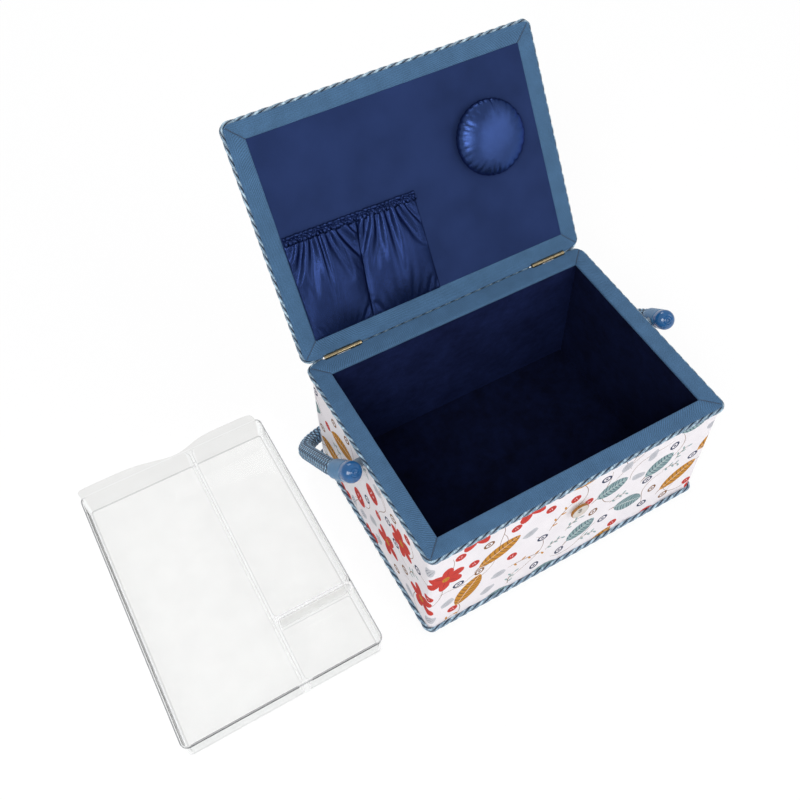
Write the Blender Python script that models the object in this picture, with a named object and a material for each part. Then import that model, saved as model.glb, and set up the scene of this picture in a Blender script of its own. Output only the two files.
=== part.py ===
"""A cloth-covered sewing basket with its lid standing open, a drop handle and a loose clear tray.

Lengths are metres. X runs along the front from left to right, Y from front to back, and Z up.
The origin is the middle of the underside of the box. The lid is modelled shut and the handle
level, each round its own hinge axis, and an empty on that axis turns it to where it rests.
"""

import math

import bmesh
import bpy
from mathutils import Matrix, Vector

# Clearances
GAP = 0.0003  # between two pieces that touch
OVERRUN = 0.004  # how far a cutter passes the face that it cuts

# Box
BOX_WIDTH = 0.312  # over the binding, left to right
BOX_DEPTH = 0.228  # over the binding, front to back
BOX_HEIGHT = 0.151  # underside to the top of the rim
CORNER_RADIUS = 0.006  # upright corners, at the edge of the binding
BINDING_WIDTH = 0.0162  # the rim's whole thickness
BINDING_THICKNESS = 0.0008
COVER_INSET = 0.0010  # the cover's face lies this far inside the binding's edge
COVER_THICKNESS = 0.0008
LINING_THICKNESS = 0.0020
BASE_COVER_THICKNESS = 0.0008
BASE_BOARD_THICKNESS = 0.0030
FLOOR_LINING_THICKNESS = 0.0015
PIPING_RADIUS = 0.0025
PIPING_FLAT = 0.0016  # depth of the flat where the piping is glued to the cover
BASE_PIPING_LIFT = 0.0005  # underside of the lower piping above the floor

# Closure
BUTTON_RADIUS = 0.0095
BUTTON_THICKNESS = 0.0026
BUTTON_RIM = 0.0022  # width of the raised rim
BUTTON_DISH = 0.0009  # depth of the dished middle
BUTTON_SHANK_RADIUS = 0.0022
BUTTON_SHANK_LENGTH = 0.0020
BUTTON_HOLE_RADIUS = 0.0008
BUTTON_HOLE_SPREAD = 0.0036  # from the button's middle to each hole
BUTTON_DROP = 0.0525  # below the top of the rim
TAB_WIDTH = 0.017
TAB_THICKNESS = 0.0012
TAB_SLOT_LENGTH = 0.0205
TAB_SLOT_WIDTH = 0.0022
TAB_SLOT_MARGIN = 0.007  # from the tab's free end to the slot

# Hinges
HINGE_INSET = 0.0385  # from the side of the box to the middle of each hinge
HINGE_LENGTH = 0.039
LEAF_DEPTH = 0.0105
LEAF_THICKNESS = 0.0007
PIN_RADIUS = 0.0008
PIN_CLEARANCE = 0.00008
LID_GAP = 0.0006  # between the rim and the shut lid
LID_OPEN_ANGLE = math.radians(122.4)  # from shut to where the lid rests
LEAF_SCREW_SPREAD = 0.0115  # from the hinge's middle to each screw
LEAF_SCREW_HEAD_RADIUS = 0.0021
LEAF_SCREW_HEAD_DEPTH = 0.0009
LEAF_SCREW_RADIUS = 0.0010
BOX_SCREW_LENGTH = 0.0095
LID_SCREW_LENGTH = 0.0052
SCREW_POINT = 0.0012  # length of the pointed end

# Lid
LID_BOARD_THICKNESS = 0.006
LID_LINING_THICKNESS = 0.0005
PAD_EDGE = 0.0020  # thickness of the padding at its edge
PAD_CROWN = 0.0125  # how much higher the padding is in the middle

# Pocket and pincushion inside the lid
POCKET_CLEARANCE = 0.0008  # from the binding
POCKET_WIDTH = 0.134
POCKET_LENGTH = 0.091
POCKET_EDGE = 0.0012  # thickness where the cloth is sewn down
POCKET_BULGE = 0.0075
POCKET_FOLD = 0.0016  # height of the folds below the gathered band
POCKET_BAND_LENGTH = 0.0105
POCKET_BAND_THICKNESS = 0.0052
POCKET_BAND_RIPPLE = 0.0007
PINCUSHION_RADIUS = 0.0365
PINCUSHION_SEAT_RADIUS = 0.0335  # where the side is drawn in to the lining
PINCUSHION_HEIGHT = 0.0205
PINCUSHION_MARGIN = 0.0545  # from the right binding to the middle of the cushion
PINCUSHION_REACH = 0.1380  # from the lid's hinge edge

# Handle
PIVOT_Y = 0.0056
PIVOT_DROP = 0.0129  # below the top of the rim
KNOB_STANDOFF = 0.0190  # from the side of the box to the knob's axis, at the pivot
KNOB_TOE_ANGLE = math.radians(10)  # the knobs stand this much outwards from the arms
KNOB_RADIUS = 0.0100
KNOB_NECK_RADIUS = 0.0093
KNOB_DOME_REACH = 0.0167  # from the pivot to the middle of the domed end
KNOB_NECK_REACH = 0.0145  # from the pivot to the end that takes the braid
KNOB_SOCKET_DEPTH = 0.0100
KNOB_DIMPLE_RADIUS = 0.0026
KNOB_DIMPLE_DEPTH = 0.0008
BOSS_RADIUS = 0.0050
BRAID_RADIUS = 0.00755
BRAID_EASE = 0.0160  # length over which the arm turns from the knob's slant to straight
GRIP_STANDOFF = 0.0155  # from the back of the box to the middle of the resting grip
HANDLE_CORNER_RADIUS = 0.062
HANDLE_REST_ANGLE = math.radians(44.8)  # below level, where the bends meet the box's back corners
WASHER_RADIUS = 0.0054
WASHER_THICKNESS = 0.0012
PIVOT_SCREW_RADIUS = 0.0020
PIVOT_SCREW_HEAD_RADIUS = 0.0042
PIVOT_SCREW_HEAD_HEIGHT = 0.0024
PIVOT_SCREW_BITE = 0.0030  # past the near side of the knob's axis

# Tray
TRAY_SPACE = 0.0440  # from the side of the box to the tray
TRAY_Y = 0.0297
TRAY_SIDE_PLAY = 0.0026  # by which the tray is narrower than the inside of the box
TRAY_END_PLAY = 0.0016  # by which the tray is shorter than the inside of the box
TRAY_HEIGHT = 0.029
TRAY_CORNER_RADIUS = 0.0060
TRAY_WALL = 0.0015
TRAY_FLOOR = 0.0015
TRAY_DRAFT = 0.0018  # how much each wall leans out from floor to rim
TRAY_DIVIDER_X = 0.0183  # long divider, to the right of the tray's middle
TRAY_CROSS_Y = -0.0717  # cross divider, in front of the tray's middle
DIVIDER_TOP = 0.0024
DIVIDER_DROP = 0.0020  # below the tray's rim
LIP_OUT = 0.0078
LIP_UP = 0.0046
LIP_THICKNESS = 0.0013

# Counts
CORNER_STEPS = 5
PIPING_STEPS = 7
ROUND_STEPS = 24
SMALL_STEPS = 16
BRAID_SIDES = 12
DOME_STEPS = 6
POCKET_COLUMNS = 40
POCKET_ROWS = 12
POCKET_FOLDS = 9
EASE_STEPS = 4
BEND_STEPS = 10
PINCUSHION_STEPS = 40
BUTTON_HOLES = 4

# Angles
SMOOTH_ANGLE = math.radians(40)
CURL_START = -90  # degrees round the hinge pin
CURL_END = 205

# Shares, chosen by hand
LID_RING_SHARES = (1.0, 0.97, 0.9, 0.8, 0.65, 0.45, 0.2)
CROWN_POWER = 3
PINCUSHION_SHARES = (
    (0.0, 0.0), (0.55, 0.16), (0.9, 0.3), (1.0, 0.44), (0.96, 0.6),
    (0.82, 0.77), (0.6, 0.9), (0.34, 0.98),
)  # share of the swell past the seat, or of the radius above the widest ring; share of the height
LIP_SHARES = (
    (-0.985, 0.0), (-1.0, 0.7), (-0.97, 1.0), (-0.41, 1.0), (-0.02, 0.2), (0.1, 0.2),
    (0.37, 1.0), (0.88, 1.0), (0.94, 0.75), (0.965, 0.0),
)  # share of half the tray's width; share of the lip's reach
GROOVE_HEIGHT_SHARE = 0.72  # height of the hollow under a divider, in divider heights
GROOVE_WIDTH_SHARE = 0.5  # width of that hollow at the floor, in divider foot widths
GROOVE_TIP_SHARE = 0.25  # width of that hollow at its top, in divider top widths
BUTTON_ROUND_SHARE = 0.25  # rounding of the button's edge, in button thicknesses
DIMPLE_FLAT_SHARE = 0.5  # flat floor of a knob's dimple, in dimple radii
SCREW_TIP_SHARE = 0.5  # radius at a screw's tip, in shank radii
POUCH_SIDE_POWER = 0.7  # under one makes the sides of a pouch steeper than a sine
POUCH_RISE_POWER = 0.8
POUCH_START_SHARE = 0.08  # share of a half wave at the pouch's sewn bottom edge
POUCH_END_SHARE = 0.92  # and at its band
POUCH_SEAM_SHARE = 1 / 6  # share of the length over which the bottom seam lets go
FOLD_FADE_POWER = 1.5

# Places worked out from the sizes above
HALF_WIDTH = BOX_WIDTH / 2
HALF_DEPTH = BOX_DEPTH / 2
COVER_OUT = -COVER_INSET
COVER_IN = COVER_OUT - COVER_THICKNESS
BOARD_OUT = COVER_IN - GAP
INNER_HALF_WIDTH = HALF_WIDTH - BINDING_WIDTH
INNER_HALF_DEPTH = HALF_DEPTH - BINDING_WIDTH
BOARD_INNER_HALF_WIDTH = INNER_HALF_WIDTH + LINING_THICKNESS + GAP
BOARD_INNER_HALF_DEPTH = INNER_HALF_DEPTH + LINING_THICKNESS + GAP
BASE_BOARD_LOW = BASE_COVER_THICKNESS + GAP
BASE_BOARD_TOP = BASE_BOARD_LOW + BASE_BOARD_THICKNESS
BOARD_LOW = BASE_BOARD_TOP + GAP
BOARD_TOP = BOX_HEIGHT - BINDING_THICKNESS - GAP
FLOOR_TOP = BOARD_LOW + FLOOR_LINING_THICKNESS
PIPING_OUT = COVER_OUT + GAP + PIPING_RADIUS - PIPING_FLAT
RIM_PIPING_HEIGHT = BOARD_TOP - PIPING_RADIUS
KNUCKLE_RADIUS = LID_GAP / 2 + BINDING_THICKNESS + GAP + LEAF_THICKNESS
HINGE_Y = HALF_DEPTH + KNUCKLE_RADIUS + GAP
HINGE_Z = BOX_HEIGHT + LID_GAP / 2
LEAF_REAR = -(KNUCKLE_RADIUS + GAP)  # the flat leaf ends here, measured from the hinge axis
LID_MIDDLE_Y = LEAF_REAR - HALF_DEPTH
LID_FACE = LID_GAP / 2  # the lid's inner face above the hinge axis, when shut
LID_BOARD_LOW = LID_FACE + BINDING_THICKNESS + GAP
LID_BOARD_TOP = LID_BOARD_LOW + LID_BOARD_THICKNESS
PAD_LOW = LID_BOARD_TOP + GAP
LINING_FACE = LID_FACE + BINDING_THICKNESS - LID_LINING_THICKNESS
PIVOT_Z = BOX_HEIGHT - PIVOT_DROP
KNOB_REACH = HALF_WIDTH + KNOB_STANDOFF
HANDLE_LENGTH = (HALF_DEPTH + GRIP_STANDOFF - PIVOT_Y) / math.cos(HANDLE_REST_ANGLE)
HINGE_SPREAD = HALF_WIDTH - HINGE_INSET
BUTTON_HEIGHT = BOX_HEIGHT - BUTTON_DROP
PINCUSHION_X = INNER_HALF_WIDTH - PINCUSHION_MARGIN
TRAY_WIDTH = 2 * INNER_HALF_DEPTH - TRAY_SIDE_PLAY
TRAY_LENGTH = 2 * INNER_HALF_WIDTH - TRAY_END_PLAY
TRAY_X = -(HALF_WIDTH + TRAY_SPACE + TRAY_WIDTH / 2)
COVER_FACE_X = HALF_WIDTH + COVER_OUT
SIDES = (("left", -1), ("right", 1))


def start_scene():
    for old in list(bpy.data.objects):
        bpy.data.objects.remove(old, do_unlink=True)
    bpy.context.scene.unit_settings.scale_length = 1.0


def linear(level):
    share = level / 255
    return share / 12.92 if share <= 0.04045 else ((share + 0.055) / 1.055) ** 2.4


def material(name, colour, roughness, metallic=0.0, alpha=1.0):
    made = bpy.data.materials.new(name)
    made.use_nodes = True
    shader = made.node_tree.nodes["Principled BSDF"]
    shader.inputs["Base Color"].default_value = [*map(linear, colour), 1.0]
    shader.inputs["Roughness"].default_value = roughness
    shader.inputs["Metallic"].default_value = metallic
    shader.inputs["Alpha"].default_value = alpha
    made.diffuse_color = [*map(linear, colour), alpha]
    return made


def make_materials():
    return {
        "twill": material("twill", (74, 110, 148), 0.8),
        "piping": material("piping", (84, 124, 160), 0.5),
        "print_cloth": material("print_cloth", (236, 233, 228), 0.85),
        "plain_cloth": material("plain_cloth", (34, 44, 84), 0.85),
        "navy_lining": material("navy_lining", (22, 30, 66), 0.8),
        "satin": material("satin", (38, 55, 105), 0.4),
        "board": material("board", (176, 152, 118), 0.8),
        "wadding": material("wadding", (235, 235, 230), 0.95),
        "brass": material("brass", (190, 150, 80), 0.3, 1.0),
        "steel": material("steel", (160, 160, 165), 0.35, 1.0),
        "knob_plastic": material("knob_plastic", (52, 100, 152), 0.25),
        "braid": material("braid", (86, 126, 156), 0.6),
        "clear_plastic": material("clear_plastic", (238, 242, 244), 0.08, alpha=0.3),
    }


def empty(name, location, rotation=(0, 0, 0)):
    made = bpy.data.objects.new(name, None)
    made.location = location
    made.rotation_euler = rotation
    bpy.context.scene.collection.objects.link(made)
    return made


def add_object(name, shape, parent, location, rotation):
    bmesh.ops.recalc_face_normals(shape, faces=shape.faces)
    mesh = bpy.data.meshes.new(name)
    shape.to_mesh(mesh)
    shape.free()
    made = bpy.data.objects.new(name, mesh)
    made.parent = parent
    made.location = location
    made.rotation_euler = rotation
    bpy.context.scene.collection.objects.link(made)
    return made


def piece(name, shape, finish, parent=None, location=(0, 0, 0), rotation=(0, 0, 0), smooth=False):
    made = add_object(name, shape, parent, location, rotation)
    made.data.materials.append(finish)
    if smooth:
        made.data.shade_smooth()
        made.data.set_sharp_from_angle(angle=SMOOTH_ANGLE)
    return made


def tool(name, shape, parent=None, location=(0, 0, 0), rotation=(0, 0, 0)):
    made = add_object(name, shape, parent, location, rotation)
    made.hide_render = True
    made.display_type = "WIRE"
    return made


def combine(target, other, operation):
    modifier = target.modifiers.new(other.name, "BOOLEAN")
    modifier.operation = operation
    modifier.solver = "EXACT"
    modifier.object = other


def cut(target, cutter):
    combine(target, cutter, "DIFFERENCE")


def fuse(target, addition):
    combine(target, addition, "UNION")


def loft(rings, wrap=False):
    """Joins rings of equally many points; the two ends are capped, or meet when wrap is set."""
    shape = bmesh.new()
    loops = [[shape.verts.new(point) for point in ring] for ring in rings]
    pairs = list(zip(loops, loops[1:]))
    if wrap:
        pairs.append((loops[-1], loops[0]))
    else:
        shape.faces.new(loops[0][::-1])
        shape.faces.new(loops[-1])
    for lower, upper in pairs:
        for index in range(len(lower)):
            after = (index + 1) % len(lower)
            shape.faces.new((lower[index], lower[after], upper[after], upper[index]))
    return shape


def prism(outline, low, high):
    return loft([[(x, y, height) for x, y in outline] for height in (low, high)])


def block(low, high):
    outline = ((low[0], low[1]), (high[0], low[1]), (high[0], high[1]), (low[0], high[1]))
    return prism(outline, low[2], high[2])


def arc(centre_x, centre_y, radius, start, end, steps):
    angles = [math.radians(start + (end - start) * step / steps) for step in range(steps + 1)]
    return [(centre_x + radius * math.cos(a), centre_y + radius * math.sin(a)) for a in angles]


def rounded_outline(half_x, half_y, radius):
    x = half_x - radius
    y = half_y - radius
    corners = ((x, y, 0), (-x, y, 90), (-x, -y, 180), (x, -y, 270))
    outline = []
    for centre_x, centre_y, start in corners:
        outline += arc(centre_x, centre_y, radius, start, start + 90, CORNER_STEPS)
    return outline


def level_ring(out, height, scale=1.0):
    """The box's plan outline at a height, moved out by a length and scaled towards its middle."""
    outline = rounded_outline(HALF_WIDTH + out, HALF_DEPTH + out, CORNER_RADIUS + out)
    return [(x * scale, y * scale, height) for x, y in outline]


def band(section):
    """A band round the box's plan; section lists (outward, height) pairs."""
    return loft([level_ring(out, height) for out, height in section], wrap=True)


def turned(profile, steps=SMALL_STEPS):
    """Turns (radius, height) pairs round Z; the first and last points lie on the axis."""
    shape = bmesh.new()
    first = shape.verts.new((0, 0, profile[0][1]))
    last = shape.verts.new((0, 0, profile[-1][1]))
    turns = [math.tau * step / steps for step in range(steps)]
    rings = []
    for radius, height in profile[1:-1]:
        rings.append([shape.verts.new((radius * math.cos(t), radius * math.sin(t), height)) for t in turns])
    for index in range(steps):
        after = (index + 1) % steps
        shape.faces.new((first, rings[0][after], rings[0][index]))
        shape.faces.new((last, rings[-1][index], rings[-1][after]))
        for lower, upper in zip(rings, rings[1:]):
            shape.faces.new((lower[index], lower[after], upper[after], upper[index]))
    return shape


def rod(radius, low, high, steps=SMALL_STEPS):
    return turned([(0, low), (radius, low), (radius, high), (0, high)], steps)


def along(shape, axis):
    """Turns a shape made along Z so that it lies along X or Y."""
    turn = Matrix.Rotation(math.pi / 2, 4, "Y") if axis == "X" else Matrix.Rotation(-math.pi / 2, 4, "X")
    bmesh.ops.transform(shape, matrix=turn, verts=shape.verts)
    return shape


def piping_section(height):
    """A round cord's section, flat where it meets the cover."""
    flat = PIPING_RADIUS - PIPING_FLAT
    reach = math.degrees(math.acos(-flat / PIPING_RADIUS))
    return arc(PIPING_OUT, height, PIPING_RADIUS, -reach, reach, PIPING_STEPS)


def mitred_strip(half_long, half_short):
    """Plan of one binding strip along the front, its ends cut at 45 degrees."""
    radius = CORNER_RADIUS
    end_gap = GAP / math.sqrt(2)
    inner_x = half_long - BINDING_WIDTH - end_gap
    inner_y = BINDING_WIDTH - half_short
    right = arc(half_long - radius - end_gap, radius - half_short, radius, -45, -90, CORNER_STEPS)
    left = [(-x, y) for x, y in reversed(right)]
    return [(-inner_x, inner_y), (inner_x, inner_y), *right, *left]


def board_strip(thickness):
    """Plan of a full-width wall board along the front, its outer corners rounded."""
    half_x = HALF_WIDTH + BOARD_OUT
    half_y = HALF_DEPTH + BOARD_OUT
    radius = CORNER_RADIUS + BOARD_OUT
    right = arc(half_x - radius, radius - half_y, radius, 0, -90, CORNER_STEPS)
    left = [(-x, y) for x, y in reversed(right)]
    return [(-half_x, thickness - half_y), (half_x, thickness - half_y), *right, *left]


def add_base(finishes):
    base_plan = [(x, y) for x, y, _ in level_ring(COVER_OUT, 0)]
    board_plan = [(x, y) for x, y, _ in level_ring(BOARD_OUT, 0)]
    piece("base_cover", prism(base_plan, 0, BASE_COVER_THICKNESS), finishes["plain_cloth"])
    piece("base_board", prism(board_plan, BASE_BOARD_LOW, BASE_BOARD_TOP), finishes["board"])
    half_x = BOARD_INNER_HALF_WIDTH - GAP
    half_y = BOARD_INNER_HALF_DEPTH - GAP
    floor = block((-half_x, -half_y, BOARD_LOW), (half_x, half_y, FLOOR_TOP))
    piece("floor_lining", floor, finishes["navy_lining"])


def add_walls(finishes):
    thickness = HALF_DEPTH + BOARD_OUT - BOARD_INNER_HALF_DEPTH
    boards = {}
    for name, turn in (("front_board", 0), ("back_board", math.pi)):
        shape = prism(board_strip(thickness), BOARD_LOW, BOARD_TOP)
        boards[name] = piece(name, shape, finishes["board"], rotation=(0, 0, turn))
    end_y = BOARD_INNER_HALF_DEPTH - GAP
    for side, sign in SIDES:
        inner = sign * BOARD_INNER_HALF_WIDTH
        outer = sign * (HALF_WIDTH + BOARD_OUT)
        shape = block((min(inner, outer), -end_y, BOARD_LOW), (max(inner, outer), end_y, BOARD_TOP))
        boards[side + "_board"] = piece(side + "_board", shape, finishes["board"])
    return boards


def add_linings(finishes):
    low = FLOOR_TOP + GAP
    half_x = INNER_HALF_WIDTH + LINING_THICKNESS
    half_y = INNER_HALF_DEPTH + LINING_THICKNESS
    for name, turn in (("front_lining", 0), ("back_lining", math.pi)):
        shape = block((-half_x, -half_y, low), (half_x, -INNER_HALF_DEPTH, BOARD_TOP))
        piece(name, shape, finishes["navy_lining"], rotation=(0, 0, turn))
    end_y = INNER_HALF_DEPTH - GAP
    for name, turn in (("right_lining", 0), ("left_lining", math.pi)):
        shape = block((INNER_HALF_WIDTH, -end_y, low), (half_x, end_y, BOARD_TOP))
        piece(name, shape, finishes["navy_lining"], rotation=(0, 0, turn))


def add_cover(finishes):
    low = BASE_COVER_THICKNESS + GAP
    section = ((COVER_OUT, low), (COVER_OUT, BOARD_TOP), (COVER_IN, BOARD_TOP), (COVER_IN, low))
    wrap = piece("cover_wrap", band(section), finishes["print_cloth"], smooth=True)
    rim_piping = piece("rim_piping", band(piping_section(RIM_PIPING_HEIGHT)), finishes["piping"], smooth=True)
    low_height = BASE_PIPING_LIFT + PIPING_RADIUS
    piece("base_piping", band(piping_section(low_height)), finishes["piping"], smooth=True)
    return wrap, rim_piping


def add_bindings(prefix, finishes, parent, middle_y, low):
    """Four mitred strips: round the rim of the box, and round the lid's inner face."""
    strips = (
        ("front", HALF_WIDTH, HALF_DEPTH, 0), ("back", HALF_WIDTH, HALF_DEPTH, math.pi),
        ("left", HALF_DEPTH, HALF_WIDTH, -math.pi / 2), ("right", HALF_DEPTH, HALF_WIDTH, math.pi / 2),
    )
    for side, half_long, half_short, turn in strips:
        shape = prism(mitred_strip(half_long, half_short), 0, BINDING_THICKNESS)
        piece(f"{prefix}_{side}_binding", shape, finishes["twill"], parent, (0, middle_y, low), (0, 0, turn))


def add_button(finishes):
    dish_radius = BUTTON_RADIUS - BUTTON_RIM
    round_over = BUTTON_THICKNESS * BUTTON_ROUND_SHARE
    profile = [
        (0, 0), (BUTTON_SHANK_RADIUS, 0), (BUTTON_SHANK_RADIUS, BUTTON_SHANK_LENGTH),
        (BUTTON_RADIUS - round_over, BUTTON_SHANK_LENGTH), (BUTTON_RADIUS, BUTTON_SHANK_LENGTH + round_over),
        (BUTTON_RADIUS, BUTTON_SHANK_LENGTH + BUTTON_THICKNESS - round_over),
        (BUTTON_RADIUS - round_over, BUTTON_SHANK_LENGTH + BUTTON_THICKNESS),
        (dish_radius, BUTTON_SHANK_LENGTH + BUTTON_THICKNESS),
        (dish_radius - BUTTON_DISH, BUTTON_SHANK_LENGTH + BUTTON_THICKNESS - BUTTON_DISH),
        (0, BUTTON_SHANK_LENGTH + BUTTON_THICKNESS - BUTTON_DISH),
    ]
    place = (0, COVER_INSET - HALF_DEPTH - GAP, BUTTON_HEIGHT)
    facing = (math.pi / 2, 0, 0)
    button = piece("closure_button", turned(profile, ROUND_STEPS), finishes["clear_plastic"],
                   location=place, rotation=facing, smooth=True)
    for index in range(BUTTON_HOLES):
        turn = math.tau * (index + 0.5) / BUTTON_HOLES
        hole = rod(BUTTON_HOLE_RADIUS, BUTTON_SHANK_LENGTH - OVERRUN, BUTTON_SHANK_LENGTH + OVERRUN)
        x = BUTTON_HOLE_SPREAD * math.cos(turn)
        y = BUTTON_HOLE_SPREAD * math.sin(turn)
        bmesh.ops.translate(hole, vec=(x, y, 0), verts=hole.verts)
        cut(button, tool(f"button_hole_{index + 1}", hole, None, place, facing))


def knuckle_curl(sign, low_x, high_x):
    """A leaf's tongue rolled round the pin; sign is -1 for the box's leaf and 1 for the lid's."""
    inner = PIN_RADIUS + PIN_CLEARANCE
    outer_arc = arc(0, 0, KNUCKLE_RADIUS, CURL_START, CURL_END, ROUND_STEPS)
    inner_arc = arc(0, 0, inner, CURL_END, CURL_START, ROUND_STEPS)
    root = LEAF_REAR - LEAF_THICKNESS
    tongue_top = LEAF_THICKNESS - KNUCKLE_RADIUS
    joint = -math.sqrt(max(inner ** 2 - tongue_top ** 2, 0))
    outline = [(root, -KNUCKLE_RADIUS), *outer_arc, *inner_arc, (joint, tongue_top), (root, tongue_top)]
    rings = []
    for x in (low_x, high_x):
        rings.append([(x, y, -sign * z) for y, z in outline])
    return loft(rings)


def leaf(name, sign, knuckles, finishes, parent, location):
    plate_outer = sign * KNUCKLE_RADIUS
    plate_inner = sign * (KNUCKLE_RADIUS - LEAF_THICKNESS)
    low = (-HINGE_LENGTH / 2, LEAF_REAR - LEAF_DEPTH, min(plate_outer, plate_inner))
    high = (HINGE_LENGTH / 2, LEAF_REAR, max(plate_outer, plate_inner))
    made = piece(name, block(low, high), finishes["brass"], parent, location)
    for index, (low_x, high_x) in enumerate(knuckles):
        curl = tool(f"{name}_curl_{index + 1}", knuckle_curl(sign, low_x, high_x), parent, location)
        fuse(made, curl)
    return made


def leaf_screw_profile(length, growth=0.0):
    """Screw head at height 0 and point below; growth widens and lengthens it into a cutter."""
    head = LEAF_SCREW_HEAD_RADIUS + growth
    shank = LEAF_SCREW_RADIUS + growth
    top = OVERRUN if growth else 0
    tip = shank * SCREW_TIP_SHARE
    profile = [(0, -length - growth), (tip, -length - growth), (shank, SCREW_POINT - length)]
    profile += [(shank, -LEAF_SCREW_HEAD_DEPTH), (head, 0)]
    if growth:
        profile.append((head, top))
    profile.append((0, top))
    return profile


def add_leaf_screws(name, sign, length, finishes, parent, hinge_place, targets):
    """Two countersunk screws through a leaf, into the board behind it."""
    head_z = sign * (KNUCKLE_RADIUS - LEAF_THICKNESS)
    facing = (0, 0, 0) if sign < 0 else (math.pi, 0, 0)
    for index, side in enumerate((-1, 1)):
        spot = Vector(hinge_place) + Vector((side * LEAF_SCREW_SPREAD, LEAF_REAR - LEAF_DEPTH / 2, head_z))
        shape = turned(leaf_screw_profile(length), SMALL_STEPS)
        piece(f"{name}_screw_{index + 1}", shape, finishes["steel"], parent, spot, facing, smooth=True)
        seat_shape = turned(leaf_screw_profile(length, GAP), SMALL_STEPS)
        seat = tool(f"{name}_screw_seat_{index + 1}", seat_shape, parent, spot, facing)
        for target in targets:
            cut(target, seat)


def hinge_notch(name, sign, parent, hinge_place):
    """Room for a leaf and its knuckles in the edge that carries them."""
    near = sign * (KNUCKLE_RADIUS + GAP)
    low = (-HINGE_LENGTH / 2 - GAP, LEAF_REAR - LEAF_DEPTH - GAP, min(near, 0))
    high = (HINGE_LENGTH / 2 + GAP, KNUCKLE_RADIUS + OVERRUN, max(near, 0))
    return tool(name, block(low, high), parent, hinge_place)


def add_hinges(finishes, lid_axis, box_targets, box_board, lid_targets, lid_board):
    third = HINGE_LENGTH / 3
    half = HINGE_LENGTH / 2
    box_knuckles = ((-half, -third / 2 - GAP), (third / 2 + GAP, half))
    lid_knuckles = ((-third / 2, third / 2),)
    for side, sign in SIDES:
        name = side + "_hinge"
        box_place = (sign * HINGE_SPREAD, HINGE_Y, HINGE_Z)
        lid_place = (sign * HINGE_SPREAD, 0, 0)
        box_leaf = leaf(name + "_box_leaf", -1, box_knuckles, finishes, None, box_place)
        lid_leaf = leaf(name + "_lid_leaf", 1, lid_knuckles, finishes, lid_axis, lid_place)
        pin = along(rod(PIN_RADIUS, -half, half), "X")
        piece(name + "_pin", pin, finishes["steel"], None, box_place, smooth=True)
        box_notch = hinge_notch(name + "_box_notch", -1, None, box_place)
        lid_notch = hinge_notch(name + "_lid_notch", 1, lid_axis, lid_place)
        for target in box_targets:
            cut(target, box_notch)
        for target in lid_targets:
            cut(target, lid_notch)
        box_pair = (box_leaf, box_board)
        lid_pair = (lid_leaf, lid_board)
        add_leaf_screws(name + "_box", -1, BOX_SCREW_LENGTH, finishes, None, box_place, box_pair)
        add_leaf_screws(name + "_lid", 1, LID_SCREW_LENGTH, finishes, lid_axis, lid_place, lid_pair)


def pad_height(share):
    """Top of the padding on the ring that lies this share of the way out."""
    return PAD_LOW + PAD_EDGE + PAD_CROWN * (1 - share ** CROWN_POWER)


def add_lid_shell(finishes, axis):
    place = (0, LID_MIDDLE_Y, 0)
    plan = [(x, y) for x, y, _ in level_ring(BOARD_OUT, 0)]
    board = piece("lid_board", prism(plan, LID_BOARD_LOW, LID_BOARD_TOP), finishes["board"], axis, place)
    pad_rings = [level_ring(BOARD_OUT, PAD_LOW)]
    pad_rings += [level_ring(BOARD_OUT, pad_height(share), share) for share in LID_RING_SHARES]
    piece("lid_pad", loft(pad_rings), finishes["wadding"], axis, place, smooth=True)
    outer_lift = GAP + COVER_THICKNESS
    outer = [level_ring(COVER_OUT, LID_BOARD_LOW)]
    outer += [level_ring(COVER_OUT, pad_height(share) + outer_lift, share) for share in LID_RING_SHARES]
    inner = [level_ring(COVER_IN, LID_BOARD_LOW)]
    inner += [level_ring(COVER_IN, pad_height(share) + GAP, share) for share in LID_RING_SHARES]
    cover = piece("lid_cover", cup(outer, inner), finishes["print_cloth"], axis, place, smooth=True)
    piping = band(piping_section(LID_BOARD_LOW + PIPING_RADIUS))
    rim = piece("lid_piping", piping, finishes["piping"], axis, place, smooth=True)
    add_tab(finishes, axis, place)
    return board, cover, rim


def cup(outer, inner):
    """A thin open shell: its outer rings run to the top, and its inner rings come back down."""
    shape = bmesh.new()
    skins = [[[shape.verts.new(point) for point in ring] for ring in rings] for rings in (outer, inner)]
    for loops in skins:
        shape.faces.new(loops[-1])
        for lower, upper in zip(loops, loops[1:]):
            for index in range(len(lower)):
                after = (index + 1) % len(lower)
                shape.faces.new((lower[index], lower[after], upper[after], upper[index]))
    outer_edge, inner_edge = skins[0][0], skins[1][0]
    for index in range(len(outer_edge)):
        after = (index + 1) % len(outer_edge)
        shape.faces.new((outer_edge[index], outer_edge[after], inner_edge[after], inner_edge[index]))
    return shape


def add_tab(finishes, axis, place):
    """The tab that buttons the lid down lies back over the lid's outer cover."""
    half_depth = HALF_DEPTH + COVER_OUT
    lift = GAP + COVER_THICKNESS + GAP
    under = [(-half_depth * share, pad_height(share) + lift) for share in LID_RING_SHARES[:-1]]
    over = [(y, z + TAB_THICKNESS) for y, z in reversed(under)]
    rings = []
    for x in (-TAB_WIDTH / 2, TAB_WIDTH / 2):
        rings.append([(x, y, z) for y, z in under + over])
    tab = piece("closure_tab", loft(rings), finishes["twill"], axis, place, smooth=True)
    free_end, free_height = under[-1]
    slot_end = free_end - TAB_SLOT_MARGIN
    low = (-TAB_SLOT_WIDTH / 2, slot_end - TAB_SLOT_LENGTH, free_height - PAD_CROWN)
    high = (TAB_SLOT_WIDTH / 2, slot_end, free_height + PAD_CROWN)
    cut(tab, tool("tab_slot", block(low, high), axis, place))


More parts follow.
